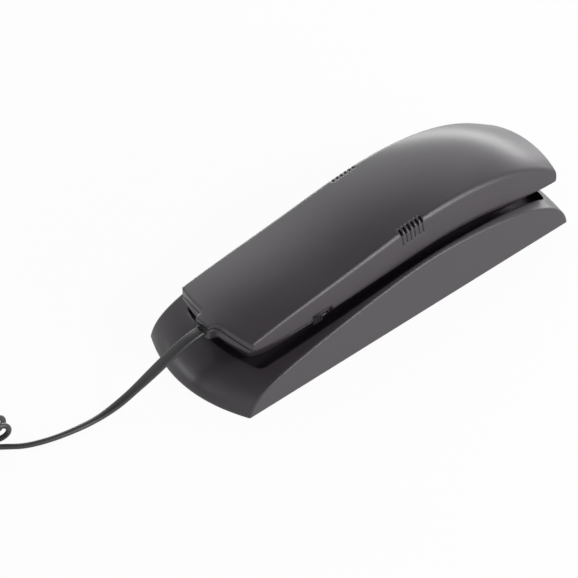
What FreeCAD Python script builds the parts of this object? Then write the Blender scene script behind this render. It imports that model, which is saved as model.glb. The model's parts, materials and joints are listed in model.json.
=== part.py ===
import FreeCAD, Part
import math
import os

# Slimline wall telephone, in millimetres. It lies on a table: X runs across, Y runs from the
# mouth and cord end (-Y) to the ear end (+Y), Z is up. The origin is under the middle of the base.

V = FreeCAD.Vector
Z_AXIS = V(0, 0, 1)
REACH = 130.0             # half the side of a cutter that is larger than the telephone

# Base: outside
BASE_HALF_WIDTH = 35.0
FRONT_BOW = 9.0           # how far the front edge bows out in the middle
BACK_BOW = 4.0
BASE_EDGE_RADIUS = 1.0
# Where the side wall meets the top, from the front corner to the back corner, as (y, z)
RIM_LINE = [(-96.5, 0.6), (-94.9, 4.6), (-91.6, 8.6), (-84.5, 12.8), (-70.0, 17.4), (-50.0, 21.9),
            (-20.0, 27.2), (12.0, 30.7), (42.0, 29.3), (69.0, 24.2), (88.0, 16.8), (97.5, 9.2), (101.5, 0.6)]
STANDS_OFF = 0.6          # the shell's lower edge stands this far above the table
BASE_WALL = 2.2
BOW_FADES_FROM = 80.0     # the bow of both ends fades out between these two distances from the middle
BOW_FADES_TO = 50.0

# Base: the trough that holds the handset
TROUGH_HALF_WIDTH = 32.6
TROUGH_WIDEST_Y = 18.0
TROUGH_FRONT = (26.0, -82.0)     # corner as (x, y)
TROUGH_BACK = (27.5, 93.0)
TROUGH_FRONT_BOW = 4.5
TROUGH_BACK_BOW = 4.0
TROUGH_CORNER = 4.0
TROUGH_LINE = [(-97.0, 8.6), (-60.0, 12.0), (-25.0, 16.6), (10.0, 19.6), (45.0, 17.8), (70.0, 13.4),
               (104.0, 6.6)]
TROUGH_FLOOR = 2.0
TROUGH_WALL = 1.8

# Handset: the lines along its length, as (y, z). Its sides are widest along WIDEST_LINE; the seam
# follows that line and rises towards the nose at the mouth end.
WIDEST_LINE = [(-100.0, 29.2), (-86.0, 27.6), (-70.0, 25.9), (-50.0, 26.3), (-14.0, 29.2), (22.0, 31.6),
               (43.0, 31.0), (60.0, 28.0), (84.0, 22.2), (98.0, 19.8), (112.0, 18.7)]
SEAM_LINE = [(-106.0, 31.6), (-98.0, 31.5), (-92.0, 31.1), (-89.0, 30.1), (-86.2, 28.1), (-82.5, 26.7),
             (-77.0, 26.1)] + WIDEST_LINE[2:]
RIDGE_LINE = [(-100.0, 29.0), (-84.0, 31.9), (-60.0, 35.8), (-30.0, 39.9), (0.0, 44.4), (30.0, 46.2),
              (60.0, 42.9), (80.0, 36.5), (94.0, 29.1), (112.0, 17.2)]
FACE_LINE = [(-100.0, 27.6), (-90.0, 22.2), (-85.0, 18.2), (-78.0, 15.2), (-68.0, 14.2),
             (-50.0, 15.6), (-25.0, 18.6), (0.0, 20.8), (20.0, 21.3), (45.0, 19.6), (68.0, 15.8),
             (82.0, 13.8), (90.0, 14.2), (97.0, 15.4), (103.0, 17.2), (112.0, 19.2)]
# The mouth end's underside where it slopes up to the front, in the middle; it follows the front's bow
MOUTH_UNDERSIDE = [(-100.0, 25.6), (-89.8, 25.6), (-81.5, 12.4), (-79.0, 8.4)]
# How far the handset's back rises between its two ridges
CROWN_LINE = [(-106.0, 2.7), (-40.0, 2.7), (20.0, 2.8), (50.0, 4.0), (80.0, 5.1), (112.0, 4.7)]
STATIONS = [-98.0, -90.0, -80.0, -64.0, -44.0, -20.0, 5.0, 30.0, 52.0, 70.0, 84.0, 95.0, 102.0, 109.0]
PAST_SEAM = 4.0           # how far a section runs on past the seam before it is cut there
SEAM_HALF_WIDTH = (24.7, 28.0, 25.0)      # at the mouth end, at its widest and at the ear end
RIDGE_HALF_WIDTH = (24.7, 24.2, 22.3)
FACE_HALF_WIDTH = (18.0, 20.5, 18.0)
WIDEST_Y = 18.0
RIDGE_RADIUS = (0.9, 4.2)                 # at the mouth end and at the ear end
FACE_RADIUS = 5.0
HANDSET_WALL = 1.8
SEAM_GAP = 0.3
# Handset: the outline seen from above
MOUTH_CORNER = (24.9, -85.5)
MOUTH_BOW = 4.3
EAR_CORNER = (24.9, 103.9)
EAR_BOW = 3.2
OUTLINE_HALF_WIDTH = 30.0
MOUTH_CORNER_RADIUS = 2.0
EAR_CORNER_RADIUS = 4.0
NOSE_HALF_ROOT = 5.4
NOSE_HALF_TIP = 4.4
NOSE_TIP_Y = -94.4
NOSE_TIP_RADIUS = 1.2
NOSE_ROOT_RADIUS = 2.6

# Clearances
SLIDE_GAP = 0.3           # round everything that slides
SEAT_GAP = 0.1            # between a piece and what it is laid or pressed against
REST_GAP = 0.35           # between the handset and what it rests on


def box(x0, x1, y0, y1, z0, z1):
    return Part.makeBox(x1 - x0, y1 - y0, z1 - z0, V(x0, y0, z0))


def rod(x, y, z0, z1, radius):
    return Part.makeCylinder(radius, z1 - z0, V(x, y, z0))


def tube(x, y, z0, z1, outer, inner):
    return rod(x, y, z0, z1, outer).cut(rod(x, y, z0 - 1, z1 + 1, inner))


def joined(shapes):
    result = shapes[0]
    for shape in shapes[1:]:
        result = result.fuse(shape)
    return result.removeSplitter()


def group(shapes):
    return Part.makeCompound(shapes)


def save(node, shape):
    solids = shape.Solids
    assert solids and all(s.isValid() for s in solids), node
    kept = solids[0] if len(solids) == 1 else Part.makeCompound(solids)
    kept.exportStep("parts/" + node + ".step")
    print(node, len(solids), round(sum(s.Volume for s in solids), 1))


def curve(points):
    line = Part.BSplineCurve()
    line.interpolate(points)
    return line


def height(line, y):
    """The z of a line along the telephone, given as (y, z) points, at a place y."""
    smooth = curve([V(0, *point) for point in line])
    low, high = smooth.FirstParameter, smooth.LastParameter
    for _ in range(40):
        middle = (low + high) / 2
        if smooth.value(middle).y < y:
            low = middle
        else:
            high = middle
    return smooth.value(low).z


def under(line, lift=0.0, half=REACH):
    """All that lies under a line along the telephone."""
    points = [V(-half, y, z + lift) for y, z in line]
    top = curve(points).toShape()
    low_front = V(-half, points[0].y, -REACH)
    low_back = V(-half, points[-1].y, -REACH)
    edges = [top, Part.makeLine(points[-1], low_back), Part.makeLine(low_back, low_front),
             Part.makeLine(low_front, points[0])]
    return Part.Face(Part.Wire(edges)).extrude(V(2 * half, 0, 0))


def swell(widths, y, front=MOUTH_CORNER[1], back=EAR_CORNER[1]):
    """A half width along the handset, which is widest at WIDEST_Y."""
    near, middle, far = widths
    if y < WIDEST_Y:
        return middle + (near - middle) * ((y - WIDEST_Y) / (front - WIDEST_Y)) ** 2
    return middle + (far - middle) * ((y - WIDEST_Y) / (back - WIDEST_Y)) ** 2


def shared(values, y):
    """A value that grows evenly from the mouth end to the ear end."""
    share = min(1.0, max(0.0, (y - MOUTH_CORNER[1]) / (EAR_CORNER[1] - MOUTH_CORNER[1])))
    return values[0] + (values[1] - values[0]) * share


def corner(before, at, after, radius):
    """The start, middle and end of the arc that rounds a corner."""
    to_before = (before - at).normalize()
    to_after = (after - at).normalize()
    half = to_before.getAngle(to_after) / 2
    reach = radius / math.tan(half)
    bisector = (to_before + to_after).normalize()
    centre = at + bisector * (radius / math.sin(half))
    return at + to_before * reach, centre - bisector * radius, at + to_after * reach


# Base shell


def bowed(y, x, half):
    """Where a point of the rim line at y lies in the section at x: both ends bow out in the middle."""
    fade = min(1.0, max(0.0, (abs(y) - BOW_FADES_TO) / (BOW_FADES_FROM - BOW_FADES_TO)))
    bow = FRONT_BOW if y < 0 else BACK_BOW
    return y + math.copysign(1.0, y) * bow * fade * (1 - (x / half) ** 2)


def inset_line(line, depth):
    """A line moved inwards, square to itself."""
    moved = []
    for i, (y, z) in enumerate(line):
        y0, z0 = line[max(i - 1, 0)]
        y1, z1 = line[min(i + 1, len(line) - 1)]
        length = math.hypot(y1 - y0, z1 - z0)
        moved.append((y + depth * (z1 - z0) / length, z - depth * (y1 - y0) / length))
    return moved


def base_body(depth, bottom):
    """The base's outside, or its hollow when depth is the wall."""
    line = inset_line(RIM_LINE, depth) if depth else RIM_LINE
    half = BASE_HALF_WIDTH - depth
    wires = []
    for share in (-1.0, -0.6, 0.0, 0.6, 1.0):
        x = share * half
        points = [V(x, bowed(y, x, half), z) for y, z in line]
        top = curve(points).toShape()
        front = V(x, points[0].y, bottom)
        back = V(x, points[-1].y, bottom)
        edges = [top]
        if abs(points[0].z - bottom) > 0.01:
            edges += [Part.makeLine(points[-1], back), Part.makeLine(back, front),
                      Part.makeLine(front, points[0])]
        else:
            edges += [Part.makeLine(points[-1], points[0])]
        wires.append(Part.Wire(edges))
    return Part.makeLoft(wires, True, False)


def trough_block(grow):
    """The trough's outline, from below the table to above the handset."""
    front = V(TROUGH_FRONT[0] + grow, TROUGH_FRONT[1] - grow, -5)
    back = V(TROUGH_BACK[0] + grow, TROUGH_BACK[1] + grow, -5)
    side = V(TROUGH_HALF_WIDTH + grow, TROUGH_WIDEST_Y, -5)
    front_left, back_left, side_left = (V(-p.x, p.y, p.z) for p in (front, back, side))
    edges = [Part.Arc(front_left, V(0, front.y - TROUGH_FRONT_BOW, -5), front).toShape(),
             Part.Arc(front, side, back).toShape(),
             Part.Arc(back, V(0, back.y + TROUGH_BACK_BOW, -5), back_left).toShape(),
             Part.Arc(back_left, side_left, front_left).toShape()]
    block = Part.Face(Part.Wire(edges)).extrude(V(0, 0, 90))
    return block.makeFillet(TROUGH_CORNER, upright_edges(block))


def upright_edges(block, chosen=lambda p: True):
    found = []
    for edge in block.Edges:
        first, last = edge.Vertexes[0].Point, edge.Vertexes[-1].Point
        upright = math.hypot(first.x - last.x, first.y - last.y) < 1e-6 and abs(first.z - last.z) > 1
        if upright and chosen(first):
            found.append(edge)
    return found


# Handset shells


def back_section(y, depth):
    """The upper shell's section: a crowned back, two rounded ridges and sides that lean out."""
    widest = swell(SEAM_HALF_WIDTH, y) - depth
    z_widest = height(WIDEST_LINE, y) - depth
    z_ridge = height(RIDGE_LINE, y) - depth
    z_ridge = max(z_ridge, z_widest + 1.2)
    crown = height(CROWN_LINE, y)
    foot = V(widest, y, z_widest)
    at = V(swell(RIDGE_HALF_WIDTH, y) - depth, y, z_ridge)
    radius = max(0.4, shared(RIDGE_RADIUS, y) - depth)
    first, middle, last = corner(foot, at, at + V(-at.x, 0, 2 * crown), radius)
    return section([foot - Z_AXIS * PAST_SEAM, foot, first, middle, last, V(0, y, z_ridge + crown)])


def face_section(y, depth):
    """The lower shell's section: sides that draw in to a flat face."""
    widest = swell(SEAM_HALF_WIDTH, y) - depth
    z_widest = height(WIDEST_LINE, y) + depth
    z_face = height(FACE_LINE, y) + depth
    z_face = min(z_face, z_widest - 1.0)
    drop = height(WIDEST_LINE, y) - height(FACE_LINE, y)
    radius = max(0.3, min(FACE_RADIUS, 0.5 * drop) - depth)
    foot = V(widest, y, z_widest)
    at = V(swell(FACE_HALF_WIDTH, y) - depth, y, z_face)
    first, middle, last = corner(foot, at, at + V(-1, 0, 0), radius)
    return section([foot + Z_AXIS * PAST_SEAM, foot, first, middle, last, V(0, y, z_face)])


def section(half):
    """A closed section from its right half: outer end, foot, rounded corner and middle."""
    end, foot, first, middle, last, top = half
    mirror = [V(-p.x, p.y, p.z) for p in half]
    if abs(last.z - top.z) > 1e-6:
        crown = [Part.Arc(last, top, mirror[4]).toShape()]
    else:
        crown = [Part.makeLine(last, mirror[4])]
    edges = [Part.makeLine(mirror[0], end), Part.makeLine(end, foot), Part.makeLine(foot, first)]
    edges += [Part.Arc(first, middle, last).toShape()] + crown
    edges += [Part.Arc(mirror[4], mirror[3], mirror[2]).toShape(), Part.makeLine(mirror[2], mirror[1])]
    edges.append(Part.makeLine(mirror[1], mirror[0]))
    return Part.Wire(edges)


def front_bow(mouth):
    """The radius and the centre's y of the arc that bows out between the mouth end's corners."""
    radius = (mouth.x ** 2 + MOUTH_BOW ** 2) / (2 * MOUTH_BOW)
    return radius, mouth.y - MOUTH_BOW + radius


def mouth_underside(depth):
    """All that lies under the mouth end's sloping underside."""
    line = [V(0, *point) for point in inset_line(MOUTH_UNDERSIDE, -depth)]
    line += [V(0, line[-1].y, -5), V(0, line[0].y, -5), line[0]]
    half_turn = 30.0
    axis = V(0, front_bow(V(*MOUTH_CORNER, 0))[1], 0)
    side = Part.Face(Part.makePolygon(line))
    side.rotate(axis, Z_AXIS, -half_turn)
    return side.revolve(axis, Z_AXIS, 2 * half_turn)


def handset_block(depth):
    """The handset's outline from above, with the nose over the cord, as a tall block."""
    mouth = V(MOUTH_CORNER[0] - depth, MOUTH_CORNER[1] + depth, 0)
    ear = V(EAR_CORNER[0] - depth, EAR_CORNER[1] - depth, 0)
    side = V(OUTLINE_HALF_WIDTH - depth, (mouth.y + ear.y) / 2, 0)
    radius, centre_y = front_bow(mouth)

    def on_front(x):
        return V(x, centre_y - math.sqrt(radius ** 2 - x ** 2), 0)

    root = on_front(NOSE_HALF_ROOT - depth)
    tip = V(NOSE_HALF_TIP - depth, NOSE_TIP_Y + depth, 0)
    half_way = on_front((root.x + mouth.x) / 2)
    right = [tip, root, half_way, mouth, side, ear]
    tip_left, root_left, way_left, mouth_left, side_left, ear_left = (V(-p.x, p.y, 0) for p in right)
    edges = [Part.makeLine(tip_left, tip), Part.makeLine(tip, root),
             Part.Arc(root, half_way, mouth).toShape(), Part.Arc(mouth, side, ear).toShape(),
             Part.Arc(ear, V(0, ear.y + EAR_BOW, 0), ear_left).toShape(),
             Part.Arc(ear_left, side_left, mouth_left).toShape(),
             Part.Arc(mouth_left, way_left, root_left).toShape(), Part.makeLine(root_left, tip_left)]
    block = Part.Face(Part.Wire(edges)).extrude(V(0, 0, 70))
    rounded = [(EAR_CORNER_RADIUS - depth, lambda p: p.y > 90),
               (MOUTH_CORNER_RADIUS - depth, lambda p: abs(p.x) > 15 and p.y < 0),
               (NOSE_TIP_RADIUS - depth, lambda p: p.y < tip.y + 0.5),
               (NOSE_ROOT_RADIUS, lambda p: tip.y + 0.5 < p.y < -80 and abs(p.x) < 15)]
    for radius, chosen in rounded:
        sharp = [e for e in upright_edges(block, chosen) if is_corner(e, block)]
        block = block.makeFillet(max(0.5, radius), sharp)
    return block


def is_corner(edge, block):
    """Whether two faces meet at an angle along an upright edge."""
    faces = [f for f in block.Faces if any(e.isSame(edge) for e in f.Edges)]
    place = edge.valueAt((edge.FirstParameter + edge.LastParameter) / 2)
    normals = [f.normalAt(*f.Surface.parameter(place)) for f in faces]
    return len(normals) == 2 and normals[0].getAngle(normals[1]) > 0.1


def lofted(make, depth):
    return Part.makeLoft([make(y, depth) for y in STATIONS], True, False)


outline_outer = handset_block(0.0)
outline_inner = handset_block(HANDSET_WALL)
back_outer = lofted(back_section, 0.0).common(outline_outer).cut(under(SEAM_LINE))
back_inner = lofted(back_section, HANDSET_WALL).common(outline_inner)
face_outer = lofted(face_section, 0.0).common(outline_outer).common(under(SEAM_LINE, -SEAM_GAP))
face_outer = face_outer.cut(mouth_underside(0.0))
face_inner = lofted(face_section, HANDSET_WALL).common(outline_inner).cut(mouth_underside(HANDSET_WALL))
print("handset", back_outer.isValid(), back_inner.isValid(), face_outer.isValid(), face_inner.isValid())


# Base pieces

TOP_FREE = 60.0           # a height clear of everything
PLATE_TOP = STANDS_OFF + 2.0
PLATE_GAP = 0.15
REST_YS = (-76.0, 68.0)   # the two pads that the handset lies on
REST_HALF = (11.0, 2.5)
HOOK_Y = 36.0
HOOK_RADIUS = 4.0
HOOK_TRAVEL = 4.0
HOOK_STEM_RADIUS = 1.6
HOOK_ARM = 11.0           # how far its arm reaches, over the switch
BOSS_PLACES = [(-24.0, -62.0), (24.0, -62.0), (-24.0, 76.0), (24.0, 76.0)]
BOSS_RADIUS = 3.2
PILOT_RADIUS = 1.25
SCREW_RADIUS = 1.2
SCREW_HEAD = (2.5, 1.5)   # radius and height
CUP_TOP = PLATE_TOP + 1.6
SCREW_SEAT = CUP_TOP - 0.9
SCREW_TIP = 8.4
FOOT_PLACES = [(-24.0, -80.0), (24.0, -80.0), (-22.0, 88.0), (22.0, 88.0)]
FOOT_RADIUS = 5.0
FOOT_SINK = 1.0
KEYHOLE_YS = (-44.0, 56.0)
KEYHOLE_RADIUS = 4.2
KEYHOLE_SLOT = (2.2, 8.0)  # half width, and length from the round entry's middle
BOARD = (-24.0, 24.0, -30.0, 50.0)
BOARD_BOTTOM = 4.8
BOARD_THICKNESS = 1.6
BOARD_POSTS = [(-20.0, -26.0), (20.0, -26.0), (-20.0, 46.0), (20.0, 46.0)]
POST_RADIUS = 2.3
SMALL_SCREW_RADIUS = 0.95
SMALL_PILOT = 1.0
SMALL_HEAD = (1.9, 1.2)
# Sockets in the left wall: middle y, half width and height of the hole, depth
LINE_SOCKET = (62.0, 4.9, 6.6, 11.5)
CORD_SOCKET = (-40.0, 3.95, 6.2, 11.5)
SOCKET_BOTTOM = 4.0
SOCKET_WALL = 1.1
SOCKET_FRONT = -(BASE_HALF_WIDTH - 1.4)
TAB = (-5.0, 5.0, 85.0, 87.2)
TAB_BOTTOM = 5.0
TAB_PROUD = 0.9

BOARD_TOP = BOARD_BOTTOM + BOARD_THICKNESS
FLANGE_RADIUS = 5.4
FLANGE_THICKNESS = 1.0
# Both ends of the hook button's travel: its top just under the handset, its flange just under the trough
PLUNGER_TOP = height(FACE_LINE, HOOK_Y + HOOK_RADIUS) - REST_GAP
FLANGE_TOP = height(TROUGH_LINE, HOOK_Y + FLANGE_RADIUS) - TROUGH_FLOOR - HOOK_TRAVEL - REST_GAP
FLANGE_BOTTOM = FLANGE_TOP - FLANGE_THICKNESS


def screw(x, y, seat, tip, radius, head):
    """A pan head screw that points up from a seat, or down where its tip is lower."""
    if tip > seat:
        return rod(x, y, seat, tip, radius).fuse(rod(x, y, seat - head[1], seat, head[0]))
    return rod(x, y, tip, seat, radius).fuse(rod(x, y, seat, seat + head[1], head[0]))


def socket_block(kind):
    y, half, tall, deep = kind
    wide = half + SOCKET_WALL
    outer = box(SOCKET_FRONT, SOCKET_FRONT + deep + 1.6, y - wide, y + wide,
                PLATE_TOP + SEAT_GAP, SOCKET_BOTTOM + tall + SOCKET_WALL)
    return outer.cut(box(SOCKET_FRONT - 5, SOCKET_FRONT + deep, y - half, y + half,
                         SOCKET_BOTTOM, SOCKET_BOTTOM + tall))


def socket_contacts(kind, count):
    y, half, tall, deep = kind
    bars = []
    for i in range(count):
        middle = y + (i - (count - 1) / 2) * 1.02
        bars.append(box(SOCKET_FRONT + 2.5, SOCKET_FRONT + deep - 0.02, middle - 0.2, middle + 0.2,
                        SOCKET_BOTTOM + tall - 0.9, SOCKET_BOTTOM + tall - 0.5))
    return bars


def socket_window(kind):
    """What a socket takes out of the left wall: a seat from the inside, and an opening in the skin."""
    y, half, tall, _ = kind
    wide = half + SOCKET_WALL + SEAT_GAP
    seat = box(SOCKET_FRONT - SEAT_GAP, SOCKET_FRONT + 4, y - wide, y + wide,
               0, SOCKET_BOTTOM + tall + SOCKET_WALL + SEAT_GAP)
    return seat.fuse(box(-REACH, SOCKET_FRONT, y - half, y + half, SOCKET_BOTTOM, SOCKET_BOTTOM + tall))


def base_shell():
    outside = base_body(0.0, STANDS_OFF)
    rims = [e for e in outside.Edges
            if abs(abs(e.CenterOfMass.x) - BASE_HALF_WIDTH) < 0.01 and e.BoundBox.ZMax > 5]
    outside = outside.makeFillet(BASE_EDGE_RADIUS, rims)
    shell = outside.cut(base_body(BASE_WALL, -5))
    trough = trough_block(TROUGH_WALL).cut(under(TROUGH_LINE, -TROUGH_FLOOR)).common(outside)
    shell = shell.fuse(trough).cut(trough_block(0.0).cut(under(TROUGH_LINE)))
    for y in REST_YS:
        pad = box(-REST_HALF[0], REST_HALF[0], y - REST_HALF[1], y + REST_HALF[1], 0, TOP_FREE)
        shell = shell.fuse(pad.common(under(FACE_LINE, -REST_GAP)).cut(under(TROUGH_LINE, -1.0)))
    for x, y in BOSS_PLACES:
        boss = rod(x, y, CUP_TOP + SEAT_GAP, TOP_FREE, BOSS_RADIUS).common(under(TROUGH_LINE, -1.0))
        shell = shell.fuse(boss).cut(rod(x, y, 0, SCREW_TIP + 0.4, PILOT_RADIUS))
    shell = shell.cut(rod(0, HOOK_Y, FLANGE_TOP, TOP_FREE, HOOK_RADIUS + SLIDE_GAP))
    shell = shell.cut(box(TAB[0] - 0.2, TAB[1] + 0.2, TAB[2] - 0.2, TAB[3] + 0.2, TAB_BOTTOM - 1, TOP_FREE))
    for kind in (LINE_SOCKET, CORD_SOCKET):
        shell = shell.cut(socket_window(kind))
    return shell.removeSplitter()


def keyhole(y, z0, z1):
    half, length = KEYHOLE_SLOT
    entry = rod(0, y, z0, z1, KEYHOLE_RADIUS)
    end = y + length - half
    return entry.fuse(box(-half, half, y, end, z0, z1)).fuse(rod(0, end, z0, z1, half))


def bottom_plate():
    layer = box(-REACH, REACH, -REACH, REACH, STANDS_OFF, PLATE_TOP)
    slab = base_body(BASE_WALL + PLATE_GAP, -5).common(layer)
    for x, y in BOSS_PLACES:
        slab = slab.fuse(rod(x, y, STANDS_OFF, CUP_TOP, SCREW_HEAD[0] + 1.6))
    for x, y in BOARD_POSTS:
        slab = slab.fuse(rod(x, y, STANDS_OFF, BOARD_BOTTOM - 0.05, POST_RADIUS))
        slab = slab.cut(rod(x, y, PLATE_TOP - 1.2, BOARD_BOTTOM + 1, SMALL_PILOT))
    for x, y in BOSS_PLACES:
        slab = slab.cut(rod(x, y, 0, SCREW_SEAT, SCREW_HEAD[0] + 0.3))
        slab = slab.cut(rod(x, y, 0, CUP_TOP + 1, SCREW_RADIUS + 0.2))
    for x, y in FOOT_PLACES:
        slab = slab.cut(rod(x, y, 0, STANDS_OFF + FOOT_SINK, FOOT_RADIUS + 0.1))
    for y in KEYHOLE_YS:
        slab = slab.cut(keyhole(y, 0, PLATE_TOP + 1))
    return slab.removeSplitter()


def feet():
    return group([rod(x, y, 0, STANDS_OFF + FOOT_SINK, FOOT_RADIUS) for x, y in FOOT_PLACES])


def board_parts():
    """What stands on the board: capacitors, a transformer, a chip, a relay and rows of small parts."""
    z = BOARD_TOP + 0.02
    pieces = [rod(-14, 38, z, z + 8.0, 3.1), rod(-15, 28, z, z + 6.5, 2.6), rod(16, -14, z, z + 6.0, 2.6)]
    pieces.append(box(-19, -6, -18, -6, z, z + 8.5))
    pieces.append(box(-3, 15, 0, 7.2, z, z + 3.2))
    pieces.append(box(-2, 6, 14, 20, z, z + 3.8))
    for i in range(5):
        pieces.append(box(1, 8, -21 + 4.2 * i, -18.8 + 4.2 * i, z, z + 2.2))
        pieces.append(box(-18 + 4 * i, -16 + 4 * i, 10, 12, z, z + 1.6))
    return group(pieces)


def hook_plunger():
    plunger = rod(0, HOOK_Y, FLANGE_BOTTOM, PLUNGER_TOP, HOOK_RADIUS)
    rims = [e for e in plunger.Edges if abs(e.BoundBox.ZMin - PLUNGER_TOP) < 0.01]
    plunger = plunger.makeFillet(0.8, rims)
    plunger = plunger.fuse(rod(0, HOOK_Y, FLANGE_BOTTOM, FLANGE_TOP, FLANGE_RADIUS))
    plunger = plunger.fuse(rod(0, HOOK_Y, BOARD_TOP + 0.8, FLANGE_TOP, HOOK_STEM_RADIUS))
    arm = box(3, HOOK_ARM, HOOK_Y - 1.5, HOOK_Y + 1.5, FLANGE_BOTTOM, FLANGE_TOP)
    plunger = plunger.fuse(arm)
    return plunger.removeSplitter()


def hook_switch():
    z = BOARD_TOP + 0.02
    lever = FLANGE_BOTTOM - SLIDE_GAP
    body = box(7.0, 14.0, HOOK_Y - 3.5, HOOK_Y + 3.0, z, lever - 1.2)
    return body.fuse(box(8.2, 10.4, HOOK_Y - 1, HOOK_Y + 1, lever - 1.2, lever))


# Cords: a round tube along straight runs joined by tangent arcs, and a curly tube of half turns


def bent(points):
    """Straight runs joined by tangent arcs, each as large as its two runs allow."""
    places = [V(*p) for p in points]
    edges, radii, at = [], [], places[0]
    for i in range(1, len(places) - 1):
        before = places[i] - places[i - 1]
        after = places[i + 1] - places[i]
        reach = 0.45 * min(before.Length, after.Length)
        half_turn = before.getAngle(after) / 2
        radii.append(reach / math.tan(half_turn))
        inward = places[i] - V(before).normalize() * reach
        outward = places[i] + V(after).normalize() * reach
        towards = ((inward + outward) * 0.5 - places[i]).normalize()
        top = places[i] + towards * (radii[-1] / math.cos(half_turn) - radii[-1])
        edges += [Part.makeLine(at, inward), Part.Arc(inward, top, outward).toShape()]
        at = outward
    edges.append(Part.makeLine(at, places[-1]))
    return edges, radii


def piped(edges, radius):
    start = edges[0].valueAt(edges[0].FirstParameter)
    ring = Part.Wire(Part.makeCircle(radius, start, edges[0].tangentAt(edges[0].FirstParameter)))
    return Part.Wire(edges).makePipeShell([ring], True, False)


def cord_tube(name, points, radius):
    edges, radii = bent(points)
    solid = piped(edges, radius)
    wanted = math.pi * radius ** 2 * sum(e.Length for e in edges)
    print(name, "length", round(sum(e.Length for e in edges), 1), "radii", [round(r, 1) for r in radii],
          "volume", round(solid.Volume, 1), "of", round(wanted, 1))
    return solid


LEAD_RADIUS = 1.7
LEAD_ROUTE = [(0.0, -94.65, 28.4), (0.0, -101.4, 28.4), (-2.2, -112.6, 21.2), (-5.0, -123.8, 12.4),
              (-7.2, -136.0, 5.0), (-8.6, -148.0, 1.8), (-9.9, -159.5, 1.7), (-12.3, -171.2, 1.7),
              (-16.51, -182.3, 1.7), (-21.787, -188.961, 1.7)]
TAIL_ROUTE = [(-1.574, -218.494, 1.7), (-9.3, -216.39, 1.7), (-17.0, -217.4, 2.2), (-24.6, -217.4, 2.2)]
CURL_RADIUS = 5.2
CURL_WIRE_RADIUS = 1.3
CURL_PITCH = 4.8
CURLS = 33
CURL_START = V(-23.4, -191.0, 0)
CURL_HEADING = 150.0      # degrees from +X
# The curly cord's own line on the table: straight lengths, and bends to the left as (radius, degrees)
CURL_LINE = [(18.0, 80.0), (22.0,), (24.0, 160.0), (22.0,), (24.0, 60.0)]


def curl_axis(s):
    """The point, the heading and the bend of the curly cord's own line at a length s along it."""
    at, turn = V(CURL_START), math.radians(CURL_HEADING)
    for piece in CURL_LINE:
        bend = 0.0 if len(piece) == 1 else 1 / piece[0]
        length = piece[0] if not bend else piece[0] * math.radians(piece[1])
        step = min(s, length)
        if bend:
            centre = at + V(-math.sin(turn), math.cos(turn), 0) / bend
            turn += step * bend
            at = centre - V(-math.sin(turn), math.cos(turn), 0) / bend
        else:
            at = at + V(math.cos(turn), math.sin(turn), 0) * step
        s -= step
        if s <= 1e-9:
            break
    return at, V(math.cos(turn), math.sin(turn), 0), bend


def curl(turns):
    """The point and the direction of the curly wire after a number of turns."""
    at, ahead, bend = curl_axis(turns * CURL_PITCH)
    left = V(-ahead.y, ahead.x, 0)
    angle = 2 * math.pi * turns
    side, rise = math.sin(angle), -math.cos(angle)
    point = at + left * (CURL_RADIUS * side) + Z_AXIS * (CURL_WIRE_RADIUS + CURL_RADIUS * (1 + rise))
    spin = 2 * math.pi / CURL_PITCH * CURL_RADIUS
    along = ahead * (1 - bend * CURL_RADIUS * side) + (left * math.cos(angle) + Z_AXIS * side) * spin
    return point, along.normalize()


def arc_between(start, ahead, end):
    """The arc that leaves start in the direction ahead and reaches end."""
    chord = end - start
    along = V(chord).normalize()
    across = (ahead - along * ahead.dot(along)).normalize()
    rise = chord.Length / 2 * math.tan(ahead.getAngle(chord) / 2)
    return Part.Arc(start, start + chord * 0.5 + across * rise, end)


def two_arcs(start, ahead, end, onward):
    """Two tangent arcs from one point and direction to the next."""
    chord, both = end - start, ahead + onward
    spread = 2 * (1 - ahead.dot(onward))
    reach = (-chord.dot(both) + math.sqrt(chord.dot(both) ** 2 + spread * chord.dot(chord))) / spread
    middle = (start + end + (ahead - onward) * reach) * 0.5
    first = arc_between(start, ahead, middle)
    return [first.toShape(), arc_between(middle, first.tangent(first.LastParameter)[0], end).toShape()]


def coiled(name, place, turns, wire_radius, steps_per_turn=4):
    """A wound tube along place(turns), with straight ends one wire thick, and its least gap to itself."""
    marks = [place(i / steps_per_turn) for i in range(turns * steps_per_turn + 1)]
    edges = [Part.makeLine(marks[0][0] - marks[0][1] * 2 * wire_radius, marks[0][0])]
    for (start, ahead), (end, onward) in zip(marks, marks[1:]):
        edges += two_arcs(start, ahead, end, onward)
    edges.append(Part.makeLine(marks[-1][0], marks[-1][0] + marks[-1][1] * 2 * wire_radius))
    solid = piped(edges, wire_radius)
    fine = 24
    points = [place(i / fine)[0] for i in range(turns * fine + 1)]
    gap = min((points[j] - points[i]).Length for i in range(len(points))
              for j in range(i + fine // 2, min(i + 2 * fine, len(points))))
    length = sum(e.Length for e in edges)
    print(name, "turns", turns, "wire length", round(length, 1), "volume", round(solid.Volume, 1), "of",
          round(math.pi * wire_radius ** 2 * length, 1), "least gap", round(gap - 2 * wire_radius, 2))
    return solid


SPRING_RADIUS = 2.7
SPRING_WIRE_RADIUS = 0.22
SPRING_TURNS = 4
SPRING_BOTTOM = BOARD_TOP + SPRING_WIRE_RADIUS + 0.1
SPRING_TOP = FLANGE_BOTTOM - SPRING_WIRE_RADIUS - 0.1


def spring_wire(turns):
    angle = 2 * math.pi * turns
    climb = (SPRING_TOP - SPRING_BOTTOM) / SPRING_TURNS
    spin = 2 * math.pi * SPRING_RADIUS
    point = V(SPRING_RADIUS * math.cos(angle), HOOK_Y + SPRING_RADIUS * math.sin(angle),
              SPRING_BOTTOM + climb * turns)
    return point, V(-math.sin(angle) * spin, math.cos(angle) * spin, climb).normalize()


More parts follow.
